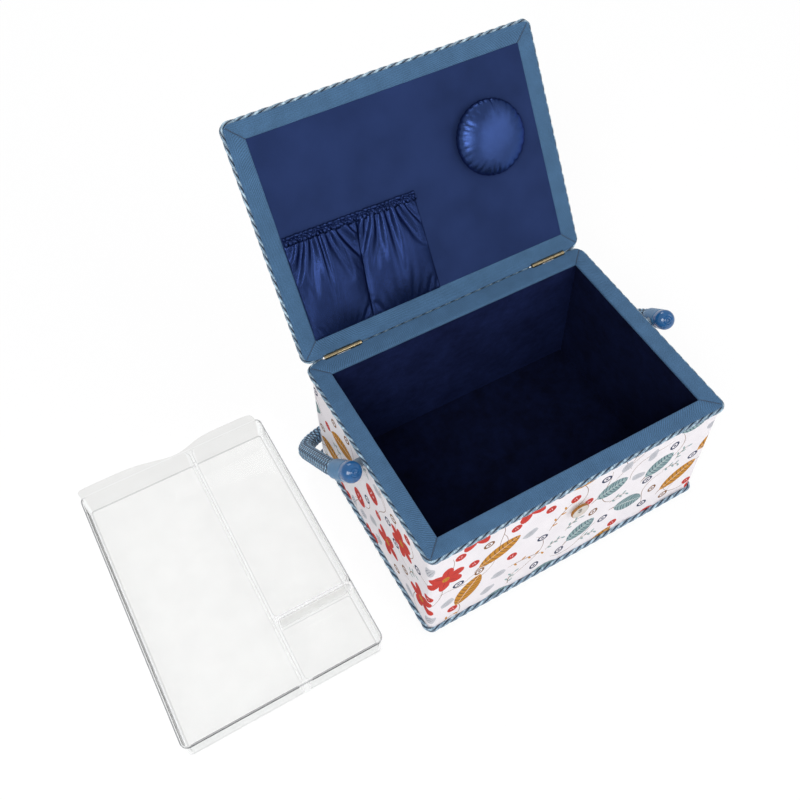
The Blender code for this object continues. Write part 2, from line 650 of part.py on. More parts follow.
def add_lid_inside(finishes, axis):
    place = (0, LID_MIDDLE_Y, 0)
    half_x = INNER_HALF_WIDTH - GAP
    half_y = INNER_HALF_DEPTH - GAP
    panel = block((-half_x, -half_y, LINING_FACE), (half_x, half_y, LINING_FACE + LID_LINING_THICKNESS))
    piece("lid_lining", panel, finishes["satin"], axis, place)
    add_pocket(finishes, axis)
    add_pincushion(finishes, axis)


def pocket_depth(across, along_share):
    """How far the pocket's cloth stands off the lining, for shares of its width and length."""
    pouch = abs(math.sin(math.tau * across)) ** POUCH_SIDE_POWER
    rise = POUCH_START_SHARE + (POUCH_END_SHARE - POUCH_START_SHARE) * along_share
    swell = pouch * math.sin(math.pi * rise) ** POUCH_RISE_POWER
    sewn = min(1.0, along_share / POUCH_SEAM_SHARE)
    fold = math.cos(math.tau * POCKET_FOLDS * across) * along_share ** FOLD_FADE_POWER * pouch
    return POCKET_EDGE + POCKET_BULGE * swell * sewn + POCKET_FOLD * fold


def add_pocket(finishes, axis):
    """Two gathered pouches sewn down on three sides, under one elastic band."""
    left = POCKET_CLEARANCE - INNER_HALF_WIDTH
    hinge_end = LEAF_REAR - BINDING_WIDTH - POCKET_CLEARANCE
    back = LINING_FACE - GAP
    shape = bmesh.new()
    grid = []
    for row in range(POCKET_ROWS + 1):
        up = row / POCKET_ROWS
        line = []
        for column in range(POCKET_COLUMNS + 1):
            across = column / POCKET_COLUMNS
            x = left + POCKET_WIDTH * across
            y = hinge_end - POCKET_LENGTH * up
            line.append(shape.verts.new((x, y, back - pocket_depth(across, up))))
        grid.append(line)
    for lower, upper in zip(grid, grid[1:]):
        for index in range(POCKET_COLUMNS):
            shape.faces.new((lower[index], lower[index + 1], upper[index + 1], upper[index]))
    edge = grid[0] + [line[-1] for line in grid[1:]] + grid[-1][-2::-1] + [line[0] for line in grid[-2:0:-1]]
    flat = [shape.verts.new((vert.co.x, vert.co.y, back)) for vert in edge]
    for index in range(len(edge)):
        after = (index + 1) % len(edge)
        shape.faces.new((edge[index], edge[after], flat[after], flat[index]))
    shape.faces.new(flat)
    piece("lid_pocket", shape, finishes["satin"], axis, smooth=True)
    add_pocket_band(finishes, axis, left, hinge_end - POCKET_LENGTH - GAP, back)


def add_pocket_band(finishes, axis, left, near_y, back):
    """The casing of the pocket's elastic, rippled by its gathers."""
    rings = []
    for column in range(POCKET_COLUMNS + 1):
        x = left + POCKET_WIDTH * column / POCKET_COLUMNS
        ripple = POCKET_BAND_RIPPLE if column % 2 else 0
        depth = POCKET_BAND_THICKNESS - ripple
        crest = depth / 2
        far_y = near_y - POCKET_BAND_LENGTH
        section = ((near_y, back), (near_y, back - crest), (near_y - crest, back - depth),
                   (far_y + crest, back - depth), (far_y, back - crest), (far_y, back))
        rings.append([(x, y, z) for y, z in section])
    piece("pocket_band", loft(rings), finishes["satin"], axis, smooth=True)


def add_pincushion(finishes, axis):
    """A domed cushion, drawn in where it is sewn to the lining."""
    swell = PINCUSHION_RADIUS - PINCUSHION_SEAT_RADIUS
    profile = [(0, 0)]
    widest = False
    for out_share, height_share in PINCUSHION_SHARES:
        radius = out_share * PINCUSHION_RADIUS if widest else PINCUSHION_SEAT_RADIUS + out_share * swell
        widest = widest or out_share == 1
        profile.append((radius, height_share * PINCUSHION_HEIGHT))
    profile.append((0, PINCUSHION_HEIGHT))
    place = (PINCUSHION_X, LEAF_REAR - PINCUSHION_REACH, LINING_FACE - GAP)
    shape = turned(profile, PINCUSHION_STEPS)
    piece("pincushion", shape, finishes["satin"], axis, place, (math.pi, 0, 0), smooth=True)


def arm_offset(reach):
    """Sideways place of the arm's middle line, this far along from the pivot."""
    slope = math.tan(KNOB_TOE_ANGLE)
    past = min(max(reach - KNOB_NECK_REACH, 0), BRAID_EASE)
    straight = min(reach, KNOB_NECK_REACH)
    return KNOB_REACH + slope * (straight + past - past ** 2 / (2 * BRAID_EASE))


def handle_path():
    """The braid's middle line in the handle's own plane: X sideways, Y away from the pivot."""
    socket_floor = KNOB_NECK_REACH - KNOB_SOCKET_DEPTH + GAP
    corner_start = HANDLE_LENGTH - HANDLE_CORNER_RADIUS
    ease_end = KNOB_NECK_REACH + BRAID_EASE
    reaches = [socket_floor, (socket_floor + KNOB_NECK_REACH) / 2]
    reaches += [KNOB_NECK_REACH + BRAID_EASE * step / EASE_STEPS for step in range(EASE_STEPS + 1)]
    reaches += [(ease_end + corner_start) / 2, corner_start]
    right = [(arm_offset(reach), reach) for reach in reaches]
    centre_x = right[-1][0] - HANDLE_CORNER_RADIUS
    right += arc(centre_x, corner_start, HANDLE_CORNER_RADIUS, 0, 90, BEND_STEPS)[1:]
    right.append((centre_x / 2, HANDLE_LENGTH))
    left = [(-x, y) for x, y in reversed(right)]
    return [*right, (0, HANDLE_LENGTH), *left]


def tube(path, radius, sides):
    """A round tube along a path that lies in the XY plane."""
    rings = []
    for index, (x, y) in enumerate(path):
        before = path[max(index - 1, 0)]
        after = path[min(index + 1, len(path) - 1)]
        direction = Vector((after[0] - before[0], after[1] - before[1], 0)).normalized()
        side = Vector((-direction.y, direction.x, 0))
        ring = []
        for step in range(sides):
            turn = math.tau * step / sides
            offset = side * math.cos(turn) + Vector((0, 0, math.sin(turn)))
            ring.append(Vector((x, y, 0)) + offset * radius)
        rings.append(ring)
    return loft(rings)


def knob_profile():
    """From the dimpled tip of the dome, round the outside, and down into the braid's socket."""
    dome = -KNOB_DOME_REACH
    tip_angle = math.degrees(math.asin(KNOB_DIMPLE_RADIUS / KNOB_RADIUS))
    tip = dome - KNOB_RADIUS * math.cos(math.radians(tip_angle))
    dome_arc = arc(0, dome, KNOB_RADIUS, tip_angle - 90, 0, DOME_STEPS)
    socket_radius = BRAID_RADIUS + GAP
    socket_floor = KNOB_NECK_REACH - KNOB_SOCKET_DEPTH
    dimple_flat = KNOB_DIMPLE_RADIUS * DIMPLE_FLAT_SHARE
    profile = [(0, tip + KNOB_DIMPLE_DEPTH), (dimple_flat, tip + KNOB_DIMPLE_DEPTH), *dome_arc]
    profile += [(KNOB_NECK_RADIUS, KNOB_NECK_REACH), (socket_radius, KNOB_NECK_REACH)]
    return [*profile, (socket_radius, socket_floor), (0, socket_floor)]


def pivot_screw_profile(growth=0.0):
    """Along +X from the head inside the wall; growth widens and lengthens it into a cutter."""
    head_top = BOARD_INNER_HALF_WIDTH
    head_under = head_top + PIVOT_SCREW_HEAD_HEIGHT
    end = KNOB_REACH - KNOB_RADIUS + PIVOT_SCREW_BITE
    head = PIVOT_SCREW_HEAD_RADIUS + growth
    shank = PIVOT_SCREW_RADIUS + growth
    start = head_top - OVERRUN if growth else head_top
    profile = [(0, start), (head, start), (head, head_under + growth), (shank, head_under + growth)]
    return [*profile, (shank, end + growth), (0, end + growth)]


def add_handle(finishes, boards, wrap):
    axis = empty("handle_axis", (0, PIVOT_Y, PIVOT_Z), (-HANDLE_REST_ANGLE, 0, 0))
    braid = tube(handle_path(), BRAID_RADIUS, BRAID_SIDES)
    piece("handle_braid", braid, finishes["braid"], axis, smooth=True)
    washer_in = COVER_FACE_X + GAP
    boss_in = washer_in + WASHER_THICKNESS + GAP
    boss_end = KNOB_REACH - BRAID_RADIUS - GAP
    for side, sign in SIDES:
        mirror = (0, 0, 0) if sign > 0 else (0, math.pi, 0)
        shape = along(turned(knob_profile(), ROUND_STEPS), "Y")
        place = (sign * KNOB_REACH, 0, 0)
        slant = (0, 0, -sign * KNOB_TOE_ANGLE)
        knob = piece(side + "_knob", shape, finishes["knob_plastic"], axis, place, slant, smooth=True)
        boss = along(rod(BOSS_RADIUS, boss_in, boss_end), "X")
        fuse(knob, tool(side + "_boss", boss, axis, (0, 0, 0), mirror))
        on_wall = (0, PIVOT_Y, PIVOT_Z)
        screw = along(turned(pivot_screw_profile(), SMALL_STEPS), "X")
        piece(side + "_pivot_screw", screw, finishes["steel"], None, on_wall, mirror, smooth=True)
        bore = tool(side + "_pivot_bore", along(turned(pivot_screw_profile(GAP)), "X"), None, on_wall, mirror)
        for target in (knob, boards[side + "_board"], wrap):
            cut(target, bore)
        washer = along(rod(WASHER_RADIUS, washer_in, washer_in + WASHER_THICKNESS, ROUND_STEPS), "X")
        ring = piece(side + "_washer", washer, finishes["knob_plastic"], None, on_wall, mirror, smooth=True)
        cut(ring, bore)


def frustum(low_x, high_x, low_y, high_y, radius, lean, floor, top):
    """A rounded block that widens by lean on every side from floor to top, and runs on straight above."""
    centre_x = (low_x + high_x) / 2
    centre_y = (low_y + high_y) / 2
    half_x = (high_x - low_x) / 2
    half_y = (high_y - low_y) / 2
    levels = ((floor, -lean), (top, 0), (top + OVERRUN, 0))
    rings = []
    for height, out in levels:
        outline = rounded_outline(half_x + out, half_y + out, radius)
        rings.append([(centre_x + x, centre_y + y, height) for x, y in outline])
    return loft(rings)


def tray_divider_groove(half_length, top, foot):
    """The hollow that a moulded divider leaves underneath, along Y."""
    half_foot = foot * GROOVE_WIDTH_SHARE / 2
    apex = top * GROOVE_HEIGHT_SHARE
    half_apex = DIVIDER_TOP * GROOVE_TIP_SHARE / 2
    outline = ((-half_foot, -OVERRUN), (half_foot, -OVERRUN), (half_apex, apex), (-half_apex, apex))
    return loft([[(x, y, z) for x, z in outline] for y in (-half_length, half_length)])


def tray_lip():
    """The raised lip at the far end, with a dip for a finger, leaning out from the rim."""
    half_x = TRAY_WIDTH / 2
    rise = Vector((0, LIP_OUT, LIP_UP))
    across = rise.cross(Vector((1, 0, 0))).normalized() * LIP_THICKNESS
    start = Vector((0, TRAY_LENGTH / 2, TRAY_HEIGHT)) - rise.normalized() * TRAY_WALL - across / 2
    edge = [start + Vector((x * half_x, 0, 0)) + rise * reach for x, reach in LIP_SHARES]
    under = start - rise.normalized() * GAP
    ends = (LIP_SHARES[-1][0], LIP_SHARES[0][0])
    root = [under + Vector((x * half_x, 0, 0)) for x in ends]
    outline = edge + root
    return loft([outline, [point + across for point in outline]])


def add_tray(finishes):
    axis = empty("tray_place", (TRAY_X, TRAY_Y, 0))
    half_x = TRAY_WIDTH / 2
    half_y = TRAY_LENGTH / 2
    divider_top = TRAY_HEIGHT - DIVIDER_DROP
    outer_rings = []
    for height, out in ((0, -TRAY_DRAFT), (TRAY_HEIGHT, 0)):
        outline = rounded_outline(half_x + out, half_y + out, TRAY_CORNER_RADIUS)
        outer_rings.append([(x, y, height) for x, y in outline])
    tray = piece("tray", loft(outer_rings), finishes["clear_plastic"], axis, smooth=True)
    inner_radius = TRAY_CORNER_RADIUS - TRAY_WALL
    left, right = TRAY_WALL - half_x, half_x - TRAY_WALL
    near, far = TRAY_WALL - half_y, half_y - TRAY_WALL
    half_divider = DIVIDER_TOP / 2
    split_x = TRAY_DIVIDER_X
    split_y = TRAY_CROSS_Y
    cuts = {
        "long_compartment": (left, split_x - half_divider, near, far, TRAY_DRAFT, TRAY_FLOOR, divider_top),
        "far_compartment": (
            split_x + half_divider, right, split_y + half_divider, far, TRAY_DRAFT, TRAY_FLOOR, divider_top,
        ),
        "near_compartment": (
            split_x + half_divider, right, near, split_y - half_divider, TRAY_DRAFT, TRAY_FLOOR, divider_top,
        ),
        "above_dividers": (left, right, near, far, 0, divider_top, TRAY_HEIGHT),
    }
    for name, (low_x, high_x, low_y, high_y, lean, floor, top) in cuts.items():
        shape = frustum(low_x, high_x, low_y, high_y, inner_radius, lean, floor, top)
        cut(tray, tool(name, shape, axis))
    foot = DIVIDER_TOP + 2 * TRAY_DRAFT
    long_half = half_y - TRAY_DRAFT - 2 * TRAY_WALL
    cut(tray, tool("long_groove", tray_divider_groove(long_half, divider_top, foot), axis, (split_x, 0, 0)))
    cross_low = split_x + foot / 2 + TRAY_WALL
    cross_high = half_x - TRAY_DRAFT - 2 * TRAY_WALL
    cross = tray_divider_groove((cross_high - cross_low) / 2, divider_top, foot)
    cross_place = ((cross_low + cross_high) / 2, split_y, 0)
    cut(tray, tool("cross_groove", cross, axis, cross_place, (0, 0, math.pi / 2)))
    fuse(tray, tool("far_lip", tray_lip(), axis))


def main():
    start_scene()
    finishes = make_materials()
    add_base(finishes)
    boards = add_walls(finishes)
    add_linings(finishes)
    wrap, rim_piping = add_cover(finishes)
    add_bindings("rim", finishes, None, 0, BOX_HEIGHT - BINDING_THICKNESS)
    add_button(finishes)
    lid_axis = empty("lid_axis", (0, HINGE_Y, HINGE_Z), (-LID_OPEN_ANGLE, 0, 0))
    lid_board, lid_cover, lid_piping = add_lid_shell(finishes, lid_axis)
    add_bindings("lid", finishes, lid_axis, LID_MIDDLE_Y, LID_FACE)
    add_lid_inside(finishes, lid_axis)
    box_targets = (boards["back_board"], wrap, rim_piping)
    lid_targets = (lid_board, lid_cover, lid_piping)
    add_hinges(finishes, lid_axis, box_targets, boards["back_board"], lid_targets, lid_board)
    add_handle(finishes, boards, wrap)
    add_tray(finishes)


main()
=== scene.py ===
import math
import random

import bmesh
import bpy
from mathutils import Matrix, Vector, geometry, noise


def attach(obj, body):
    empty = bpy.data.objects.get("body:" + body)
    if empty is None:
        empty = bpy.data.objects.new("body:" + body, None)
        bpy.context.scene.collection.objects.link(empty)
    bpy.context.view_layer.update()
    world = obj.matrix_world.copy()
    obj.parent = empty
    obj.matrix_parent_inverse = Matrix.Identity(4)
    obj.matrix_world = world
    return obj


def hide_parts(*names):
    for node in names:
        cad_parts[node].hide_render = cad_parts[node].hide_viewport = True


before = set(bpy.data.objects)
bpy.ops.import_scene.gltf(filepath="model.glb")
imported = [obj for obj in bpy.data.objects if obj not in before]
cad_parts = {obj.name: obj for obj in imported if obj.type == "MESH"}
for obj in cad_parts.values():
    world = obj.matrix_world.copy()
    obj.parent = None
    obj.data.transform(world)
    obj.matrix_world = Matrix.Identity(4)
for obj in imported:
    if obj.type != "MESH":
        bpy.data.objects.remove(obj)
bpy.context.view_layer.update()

MM = 0.001
UP = Vector((0, 0, 1))
UPRIGHT = Matrix.Identity(4)

# The box and lid, as in the CAD part (metres)
HALF_X, HALF_Y, HEIGHT = 0.156, 0.114, 0.151
EDGE_RADIUS = 0.006
BINDING = 0.0162
INNER_X, INNER_Y = 0.1398, 0.0978
COVER_X, COVER_Y, COVER_RADIUS = 0.155, 0.113, 0.005
HINGE_Y, HINGE_Z = 0.1164, 0.1513
HINGE_X, HINGE_HALF = 0.1175, 0.0195
LID_MIDDLE = -0.1164
LID_TURN = math.radians(-122.4)
HANDLE_Y, HANDLE_Z = 0.0056, 0.1381
HANDLE_TURN = math.radians(-44.8)
TRAY_X, TRAY_Y = -0.2965, 0.0297
BUTTON = Vector((0, -0.1133, 0.0985))
WEAVE = 0.0067  # along one strand of the braid, from one crossing to the next but one

LID = Matrix.Translation((0, HINGE_Y, HINGE_Z)) @ Matrix.Rotation(LID_TURN, 4, "X")
LID_PLATE = LID @ Matrix.Translation((0, LID_MIDDLE, 0))
HANDLE = Matrix.Translation((0, HANDLE_Y, HANDLE_Z)) @ Matrix.Rotation(HANDLE_TURN, 4, "X")
TRAY = Matrix.Translation((TRAY_X, TRAY_Y, 0))


# ---------------------------------------------------------------- materials

def linear(rgb):
    """A colour from 0 to 255, as a shader wants it."""
    shares = [level / 255 for level in rgb]
    return [s / 12.92 if s <= 0.04045 else ((s + 0.055) / 1.055) ** 2.4 for s in shares] + [1.0]


def shade(rgb, factor):
    return tuple(min(255, level * factor) for level in rgb)


class Nodes:
    """The node tree of a material or of the world, with short calls to add and join nodes."""

    def __init__(self, owner):
        owner.use_nodes = True
        self.tree = owner.node_tree
        self.shader = self.tree.nodes.get("Principled BSDF")

    def plug(self, node, key, value):
        if isinstance(value, bpy.types.NodeSocket):
            self.tree.links.new(value, node.inputs[key])
        else:
            node.inputs[key].default_value = value

    def set(self, node=None, **inputs):
        for key, value in inputs.items():
            self.plug(node or self.shader, key.replace("_", " "), value)

    def add(self, kind, settings=None, **inputs):
        node = self.tree.nodes.new("ShaderNode" + kind)
        for key, value in (settings or {}).items():
            setattr(node, key, value)
        self.set(node, **inputs)
        return node

    def mapped(self, source, scale, turn=0):
        node = self.add("Mapping", Vector=source, Scale=scale, Rotation=(0, 0, math.radians(turn)))
        return node.outputs["Vector"]

    def uv(self, scale=(1, 1, 1), turn=0):
        """The piece's own UV map, which is in metres, scaled and turned by degrees."""
        return self.mapped(self.add("UVMap", {"uv_map": "UVMap"}).outputs["UV"], scale, turn)

    def space(self, scale=(1, 1, 1)):
        return self.mapped(self.add("TexCoord").outputs["Object"], scale)

    def noise(self, vector, scale, detail=3.0, roughness=0.5):
        node = self.add("TexNoise", Vector=vector, Scale=scale, Detail=detail, Roughness=roughness)
        return node.outputs["Fac"]

    def wave(self, vector, scale, distortion, direction="X"):
        settings = {"bands_direction": direction, "wave_profile": "SIN"}
        node = self.add("TexWave", settings, Vector=vector, Scale=scale, Distortion=distortion)
        return node.outputs["Fac"]

    def calc(self, operation, *values):
        node = self.add("Math", {"operation": operation})
        for index, value in enumerate(values):
            self.plug(node, index, value)
        return node.outputs[0]

    def blend(self, first, second, share):
        """A weighted sum, with this share of the first value."""
        return self.calc("ADD", self.calc("MULTIPLY", first, share), self.calc("MULTIPLY", second, 1 - share))

    def stretch(self, value, low, high):
        """0 at low and 1 at high."""
        return self.add("MapRange", Value=value, From_Min=low, From_Max=high).outputs[0]

    def ramp(self, value, *stops):
        node = self.add("ValToRGB", Fac=value)
        elements = node.color_ramp.elements
        while len(elements) < len(stops):
            elements.new(0.5)
        for element, (place, rgb) in zip(elements, stops):
            element.position = place
            element.color = linear(rgb)
        return node.outputs["Color"]

    def mix(self, share, first, second, blend="MIX"):
        node = self.add("Mix", {"data_type": "RGBA", "blend_type": blend})
        for index, value in ((0, share), (6, first), (7, second)):
            self.plug(node, index, value)
        return node.outputs[2]

    def bump(self, height, strength, distance, **under):
        node = self.add("Bump", Height=height, Strength=strength, Distance=distance, **under)
        return node.outputs["Normal"]

    def rays(self, *kinds):
        """1 for a ray of one of these kinds."""
        kinds = [self.path().outputs[f"Is {kind} Ray"] for kind in kinds]
        found = kinds[0]
        for kind in kinds[1:]:
            found = self.calc("MAXIMUM", found, kind)
        return found

    def path(self):
        return self.tree.nodes.get("Light Path") or self.add("LightPath")

    def show(self, share, first, second):
        """Sends two shaders, mixed, to the output."""
        blend = self.add("MixShader", Fac=share)
        self.plug(blend, 1, first.outputs[0])
        self.plug(blend, 2, second.outputs[0])
        output = next(node for node in self.tree.nodes if node.type.startswith("OUTPUT"))
        self.plug(output, "Surface", blend.outputs[0])


def twill(made, rgb):
    """Diagonal twill tape with a fine rib and slightly uneven dye."""
    ribs = made.wave(made.uv(turn=32), 230.0, 1.6)
    threads = made.noise(made.uv(), 1100.0, 3.0, 0.7)
    weave = made.blend(ribs, threads, 0.2)
    colour = made.ramp(weave, (0.25, shade(rgb, 0.66)), (0.5, rgb), (0.75, shade(rgb, 1.25)))
    dye = made.ramp(made.noise(made.space(), 60.0, 4.0, 0.6), (0.3, (232,) * 3), (0.7, (255,) * 3))
    made.set(Base_Color=made.mix(1.0, colour, dye, "MULTIPLY"), Roughness=0.85, Sheen_Weight=0.05,
             Sheen_Roughness=0.5, Specular_IOR_Level=0.2, Normal=made.bump(weave, 0.55, 0.0003))


def printed(made, rgb):
    """Plain-weave cotton with a colour printed on it."""
    weave = made.calc("MULTIPLY", made.wave(made.uv(), 560.0, 0.5), made.wave(made.uv(), 560.0, 0.5, "Y"))
    worn = made.calc("MULTIPLY", made.noise(made.uv(), 900.0, 2.0), 0.07)
    ink = made.mix(worn, linear(rgb), linear((232, 229, 233)))
    soft = made.noise(made.space(), 35.0, 3.0)
    dimmed = made.ramp(made.blend(weave, soft, 0.6), (0.0, (226, 226, 228)), (0.7, (255,) * 3))
    height = made.calc("ADD", made.calc("MULTIPLY", weave, 0.10), made.noise(made.space(), 22.0, 2.0))
    made.set(Base_Color=made.mix(1.0, ink, dimmed, "MULTIPLY"), Roughness=0.88, Specular_IOR_Level=0.12,
             Normal=made.bump(height, 0.25, 0.0012))


def satin(made, rgb, grain, rough, sheer):
    """Glossy satin: bright along the threads, dark across them, with a fine slub."""
    threads = made.noise(made.uv((1, 9, 1)), 900.0, 3.0, 0.6)
    fibre = made.blend(threads, made.wave(made.uv(), 700.0, 0.5, "Y"), 0.7)
    colour = made.ramp(fibre, (0.25, shade(rgb, 0.78)), (0.6, rgb), (0.9, shade(rgb, 1.25)))
    tint = made.ramp(made.noise(made.space(), 25.0, 3.0), (0.3, (225,) * 3), (0.7, (255,) * 3))
    made.set(Base_Color=made.mix(1.0, colour, tint, "MULTIPLY"), Roughness=rough, Metallic=sheer,
             Specular_IOR_Level=0.5 if sheer else 0.1, Specular_Tint=linear((102, 125, 183)),
             Normal=made.bump(fibre, grain, 0.0002))


def velvet(made, rgb, lift):
    """Deep flocked lining, lighter where the pile leans towards the light."""
    pile = made.noise(made.space(), 1500.0, 3.0, 0.7)
    lay = made.noise(made.space(), 28.0, 5.0, 0.65)
    blotch = made.blend(lay, made.noise(made.space((1, 1, 1.6)), 90.0, 4.0, 0.7), 0.6)
    base = made.ramp(blotch, (0.38, rgb), (0.68, lift))
    fleck = made.ramp(pile, (0.3, (190,) * 3), (0.75, (255,) * 3))
    made.set(Base_Color=made.mix(1.0, base, fleck, "MULTIPLY"), Roughness=0.95, Specular_IOR_Level=0.1,
             Sheen_Weight=0.3, Sheen_Roughness=0.4, Sheen_Tint=linear(shade(lift, 1.6)),
             Normal=made.bump(pile, 0.5, 0.0003, Normal=made.bump(blotch, 0.3, 0.002)))


def yarn(made, dark, rgb, light, scale=500.0, turn=50, girth=0.0, gloss=0.38, near=0.15, far=0.27,
         weave=0.0, crown=0.0):
    """Fine fibres twisted round a strand. UV runs round it (x) and along it (y); with a girth, the
    side where the ring starts and ends is painted darker, as painted shade where strands lie against
    each other. A weave's length along the strand is painted darkest where it passes under the others,
    as painted shade. A crown is the width of the pale patches painted on top of a strand, a painted
    highlight in the light colour, which is also the palest of the fibres."""
    loose = made.noise(made.uv((3, 1, 1)), 1200.0, 2.0)
    fibres = made.blend(made.wave(made.uv(turn=turn), scale, 1.2), loose, 0.5)
    colour = made.ramp(fibres, (0.2, shade(rgb, 0.75)), (0.5, rgb), (0.8, light))
    if girth:
        split = made.add("SeparateXYZ", Vector=made.uv((1 / girth, 1, 1)))
        away = made.calc("ABSOLUTE", made.calc("SUBTRACT", split.outputs["X"], 0.5))
        # painted highlight: pale patches on top of each strand
        if crown:
            highlight_patches = made.stretch(made.noise(made.space(), 320.0, 1.0), 0.47, 0.62)
            flat = made.calc("MULTIPLY", made.stretch(away, crown, 0.0), highlight_patches)
            colour = made.mix(flat, colour, linear(light))
        # painted shade: darker towards where strands lie against each other
        colour = made.mix(made.stretch(away, near, far), colour, linear(dark))
        # painted shade where the strand passes under the others
        if weave:
            dip = made.calc("COSINE", made.calc("MULTIPLY", split.outputs["Y"], math.tau / weave))
            colour = made.mix(made.stretch(dip, 0.8, 0.05), colour, linear(dark))
    made.set(Base_Color=colour, Roughness=gloss, Specular_IOR_Level=0.65, Sheen_Weight=0.1,
             Normal=made.bump(fibres, 0.5, 0.00025))


def plastic(made, rgb, roughness):
    """Moulded plastic with faint swirls in its colour and a slightly uneven skin."""
    swirl = made.noise(made.space(), 180.0, 4.0, 0.6)
    fine = made.noise(made.space(), 1600.0, 2.0)
    made.set(Base_Color=made.ramp(swirl, (0.3, shade(rgb, 0.93)), (0.7, shade(rgb, 1.06))),
             Roughness=made.calc("MULTIPLY_ADD", fine, 0.12, roughness - 0.06),
             Normal=made.bump(fine, 0.12, 0.0001), Coat_Weight=0.2 if roughness < 0.35 else 0.0)


def metal(made, rgb, roughness):
    """Rolled metal with streaks along one direction and small scratches."""
    streaks = made.noise(made.space((1, 12, 12)), 700.0, 4.0, 0.7)
    tarnish = made.noise(made.space(), 260.0, 4.0, 0.6)
    made.set(Base_Color=made.ramp(tarnish, (0.3, shade(rgb, 0.8)), (0.65, rgb)), Metallic=1.0,
             Roughness=made.calc("MULTIPLY_ADD", streaks, 0.3, roughness - 0.12),
             Normal=made.bump(streaks, 0.2, 0.0001))


def card(made, rgb):
    """Grey-brown pressed board with flecks of fibre."""
    fibre = made.noise(made.space((1, 1, 3)), 420.0, 5.0, 0.7)
    fleck = made.calc("GREATER_THAN", made.noise(made.space(), 1100.0, 2.0), 0.66)
    colour = made.ramp(fibre, (0.3, shade(rgb, 0.8)), (0.6, rgb), (0.8, shade(rgb, 1.15)))
    made.set(Base_Color=made.mix(fleck, colour, linear(shade(rgb, 0.6))), Roughness=0.9,
             Normal=made.bump(fibre, 0.4, 0.0004))


def fluff(made, rgb):
    """Soft white wadding."""
    tuft = made.noise(made.space(), 240.0, 6.0, 0.75)
    made.set(Base_Color=made.ramp(tuft, (0.3, shade(rgb, 0.82)), (0.7, rgb)), Roughness=1.0,
             Sheen_Weight=0.4, Normal=made.bump(tuft, 0.8, 0.002))


def clear(made, rgb, shadow, roughness, bend, through):
    """Clear moulded styrene, a little milky, that lets most of the light through to its shadow."""
    flow = made.noise(made.space(), 40.0, 4.0)
    fine = made.noise(made.space(), 900.0, 2.0)
    made.set(Base_Color=made.ramp(flow, (0.3, shade(rgb, 0.99)), (0.7, rgb)), IOR=bend,
             Roughness=made.calc("MULTIPLY_ADD", fine, 0.03, roughness), Transmission_Weight=through,
             Normal=made.bump(flow, 0.03, 0.002))
    made.show(made.rays("Shadow"), made.shader, made.add("BsdfTransparent", Color=linear(shadow)))


def finish(name, kind, *values):
    """A material of one of the kinds above."""
    material = bpy.data.materials.new(name)
    kind(Nodes(material), *values)
    return material


